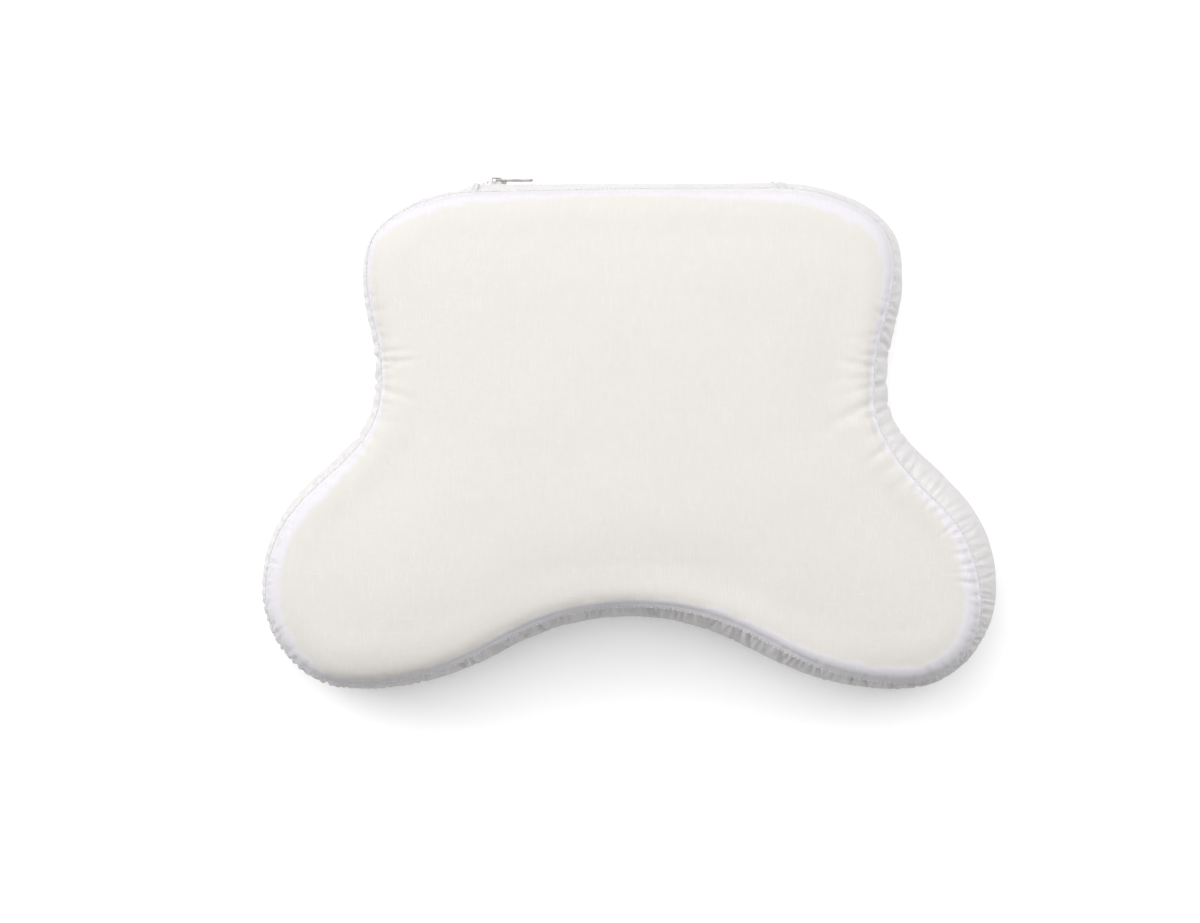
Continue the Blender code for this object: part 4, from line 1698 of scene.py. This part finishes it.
@dataclass
class Zip:
    """The coil zip along the rear: folded bands, tapes, teeth, stops, slider and pull tab."""

    cover: Cover
    nodes: dict[str, bpy.types.Object]
    slot_half: float = 0.005
    stitch_line: float = 0.0072  # from the middle of the zip to the stitches beside it
    tape_depth: float = 0.0013
    tape_cloth: float = 0.0006
    tape_width: float = 0.0128
    tooth_pitch: float = 0.0016
    filament: float = 0.00036
    crown_inset: float = 0.0016  # from a row's outer edge to the top of a tooth's bend
    cord: float = 0.00045  # radius of the cord that the coil is sewn round
    cord_inset: float = 0.0014  # from a row's outer edge to the cord
    line_rise: float = 0.00012  # of the topstitching above the zip bands
    end_stitch: float = 0.0012  # from the ends of the zip bands to the stitches across them
    gap: float = 0.0003  # between the zip's cloth and the ends of its run
    tape_gap: float = 0.00015  # half the gap between the tapes
    cast_grain: float = 0.00016
    cast_polish: int = 9  # rounds of smoothing, which soften the edges
    grips: int = 4
    grip_halves: Point = (0.0009, 0.0006, 0.0026)
    grip_start: float = 0.0036  # from the pull tab's end to its first grip
    grip_pitch: float = 0.0026

    @cached_property
    def nickel(self) -> bpy.types.Material:
        """Finish of the stops, the slider and the pull tab."""
        return DullNickel().material()

    def cloth_parts(self, stitches: Recipe) -> None:
        """Both folded bands, both tapes, and the stitches that hold them together.

        Args:
            stitches: The tree that makes stitches.
        """
        skin, cover = self.cover.skin, self.cover
        reach = skin.zip_reach - self.gap
        stations = cover.run(skin.rear - reach, skin.rear + reach, 0.0015)
        tape = TwillTape().material()
        lines: list[Array] = []
        for side, word in ((Side.TOP, "upper"), (Side.BOTTOM, "lower")):
            seam = np.abs(skin.seam_arc(side, stations % skin.outline.length))
            fold = np.full_like(seam, self.slot_half)
            rows = cover.rows(fold, seam, 0.0017) * side.value
            band = cover.strip(f"{word}_zip_band", stations, rows[:: side.value], 0.0, cover.cloth)
            band.data.materials.append(cover.white)
            fit(band, "cover", "white_cotton", f"zip_band_{word}")
            inner, outer = (np.full_like(seam, edge) for edge in (self.tape_gap, self.tape_width))
            rows = cover.rows(inner, outer, 0.0012)[:: side.value] * side.value
            strip = cover.strip(f"{word}_zip_tape", stations, rows, self.tape_depth, self.tape_cloth)
            strip.data.materials.append(tape)
            fit(strip, "cover", "zip_tape", f"zip_tape_{word}")
            arc = np.full_like(stations, self.stitch_line * side.value)
            lines.append(skin.surface(stations % skin.outline.length, arc, depth=-self.line_rise))
        for place in (stations[0] - self.end_stitch, stations[-1] + self.end_stitch):
            arc = np.linspace(-skin.low_seam + 0.003, skin.low_seam - 0.003, 30)
            lines.append(skin.surface(np.full_like(arc, place), arc, depth=-cover.cloth - 0.0004))
        points = np.concatenate(lines)
        ends = set(np.cumsum([len(line) for line in lines]))
        edges = [(i, i + 1) for i in range(len(points) - 1) if i + 1 not in ends]
        line = make_object("zip_topstitching", points, [], edges)
        fit(stitches.make(line, cover.thread, Seed=9), "cover", "thread")

    def teeth(self) -> None:
        """Both sides of the coil."""
        nylon, recipe = Nylon().material(), coil_recipe()
        for side, word in ((1, "upper"), (-1, "lower")):
            low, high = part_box(f"zip_row_{word}")
            outer, tip = (high.z, low.z) if side > 0 else (low.z, high.z)
            first = low.x + self.tooth_pitch * (0.5 if side > 0 else 1.0)
            count = int((high.x - first - self.filament) / self.tooth_pitch) + 1
            base, top, reach = low.y + self.filament, high.y - self.filament, self.filament * side
            seat = (base + 0.0001, outer - side * self.cord_inset)
            sizes = {
                "Count": count,
                "Start": (first, 0.0, 0.0),
                "Step": (self.tooth_pitch, 0.0, 0.0),
                "Root": (0.0, base, outer - reach),
                "Crown": (0.0, 2 * top - (base + top) / 2 + 0.0002, outer - side * self.crown_inset),
                "Tip": (0.0, (base + top) / 2, tip + reach),
                "Filament": self.filament,
                "Cord": self.cord,
                "Cord seat": (low.x + 0.0002, *seat),
                "Cord end": (high.x - 0.0002, *seat),
            }
            row = recipe.make(make_object(f"{word}_zip_teeth", np.zeros((1, 3)), []), nylon, **sizes)
            fit(row, "cover", "zip_teeth", f"zip_row_{word}")

    def cast(self, name: str, body: str, node: str, extras: Sequence[bpy.types.Object] = ()) -> None:
        """A die-cast piece with soft edges, in place of a CAD node.

        Args:
            name: The piece's name.
            body: The body that it rides on.
            node: The CAD node that gives its shape.
            extras: Shapes that are melted into it.
        """
        source = self.nodes[node]
        piece = bpy.data.objects.new(name, source.data.copy())
        bpy.context.scene.collection.objects.link(piece)
        piece.data.materials.clear()
        welded(piece, 0.000005)
        for extra in extras:
            merge_into(piece, extra)
        remesh = piece.modifiers.new("cast", "REMESH")
        remesh.mode = "VOXEL"
        remesh.voxel_size = self.cast_grain
        smooth = piece.modifiers.new("soft edges", "SMOOTH")
        smooth.factor = 0.5
        smooth.iterations = self.cast_polish
        baked(piece)
        piece.data.shade_smooth()
        piece.data.materials.append(self.nickel)
        fit(piece, body, "zip_metal", node)

    def metal(self) -> None:
        """Stops, slider, and pull tab with its raised grips."""
        self.cast("upper_top_stop", "cover", "zip_top_stop_upper")
        self.cast("lower_top_stop", "cover", "zip_top_stop_lower")
        self.cast("crimped_bottom_stop", "cover", "zip_bottom_stop")
        self.cast("slider_body", "slider", "zip_slider")
        low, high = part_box("zip_pull_tab")
        middle, first = (low.z + high.z) / 2, high.x - self.grip_start
        grips = [
            pill(f"grip_{row}", (first - row * self.grip_pitch, high.y, middle), self.grip_halves)
            for row in range(self.grips)
        ]
        self.cast("slider_pull_tab", "pull_tab", "zip_pull_tab", grips)

    def build(self, stitches: Recipe) -> None:
        """Makes the whole zip.

        Args:
            stitches: The tree that makes stitches.
        """
        self.cloth_parts(stitches)
        self.teeth()
        self.metal()


@dataclass
class Studio:
    """A pale floor, three soft lamps and the camera."""

    centre: Point = (-0.0187, -0.0191, 0.045)
    frame_width: float = 0.786
    distance: float = 2.6
    lean: Point = (0.04, -0.05, 1.0)  # from the cushion towards the camera
    film: float = 36.0  # width of the camera's film, in millimetres
    floor_half: float = 8.0
    floor_height: float = -0.0003
    sky: float = 0.05

    def floor(self) -> None:
        """A wide pale floor just under the cushion."""
        corners = np.array([(-1, -1), (1, -1), (1, 1), (-1, 1)]) * self.floor_half
        points = np.column_stack([corners, np.full(4, self.floor_height)])
        floor = make_object("studio_floor", points, [(0, 1, 2, 3)])
        board = Board("studio_paper", 0.9, Specular_IOR_Level=0.1, Emission_Strength=0.12)
        fibres = board.cloud(board.place(), (900, 900, 900), 2.0)
        paper = board.mix(fibres, (0.93, 0.93, 0.935), (0.95, 0.95, 0.955))
        floor.data.materials.append(board.finish(paper, fibres, 0.00001))

    def lamp(self, name: str, place: Point, size: float, power: float) -> None:
        """Adds a square soft lamp that faces the cushion.

        Args:
            name: The lamp's name.
            place: Where it stands.
            size: Width of its square face.
            power: Its power, in watts.
        """
        light = bpy.data.lights.new(name, "AREA")
        light.shape = "SQUARE"
        light.size = size
        light.energy = power
        obj = bpy.data.objects.new(name, light)
        obj.location = place
        obj.rotation_euler = (Vector(self.centre) - Vector(place)).to_track_quat("-Z", "Y").to_euler()
        bpy.context.scene.collection.objects.link(obj)

    def light(self) -> None:
        """Three soft lamps and a faint even sky."""
        self.lamp("overhead_softbox", (-0.1, 0.30, 1.6), 2.3, 42.5)
        self.lamp("left_softbox", (-1.5, 0.7, 0.9), 1.2, 18.5)
        self.lamp("right_softbox", (1.5, 0.7, 0.9), 1.2, 13.5)
        world = bpy.data.worlds.new("studio")
        world.use_nodes = True
        background = world.node_tree.nodes["Background"]
        background.inputs["Color"].default_value = (1.0, 1.0, 1.0, 1.0)
        background.inputs["Strength"].default_value = self.sky
        bpy.context.scene.world = world
        bpy.context.scene.view_settings.view_transform = "Standard"

    def camera(self) -> None:
        """A long lens over the cushion, a little to the front and the right."""
        camera = bpy.data.cameras.new("overhead_camera")
        camera.sensor_width = self.film
        camera.lens = self.film * self.distance / self.frame_width
        camera.clip_end = 20.0
        obj = bpy.data.objects.new("overhead_camera", camera)
        back = Vector(self.lean).normalized()
        right = Vector((0, 1, 0)).cross(back).normalized()
        turn = Matrix((right, back.cross(right), back)).transposed()
        obj.matrix_world = Matrix.LocRotScale(Vector(self.centre) + back * self.distance, turn, None)
        bpy.context.scene.collection.objects.link(obj)
        bpy.context.scene.camera = obj

    def build(self) -> None:
        """Floor, light and camera."""
        self.floor()
        self.light()
        self.camera()


def main() -> None:
    """Builds every piece round the CAD model."""
    logging.basicConfig(level=logging.INFO, format="%(message)s")
    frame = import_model()
    nodes = frame["nodes"]
    top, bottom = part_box("cover_top_panel")[1].z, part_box("cover_bottom_panel")[0].z
    middle = (top + bottom) / 2
    outline = Outline.of_band(nodes["cover_side_band"], middle, cloth=0.001)
    zip_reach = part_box("zip_band_upper")[1].x + Zip.gap
    skin = Skin(outline, EdgeRoll((top - bottom) / 2), middle, zip_reach)
    LOG.info("outline: %.0f mm round, zip run %.0f mm", outline.length / MM, 2 * skin.zip_reach / MM)
    skin.swelling = FillTrial().run(skin)
    stitches = stitch_recipe()
    cover = Cover(skin)
    cover.build(stitches)
    Filling(skin).build()
    Zip(cover, nodes).build(stitches)
    Studio().build()


if __name__ == "__main__":
    main()
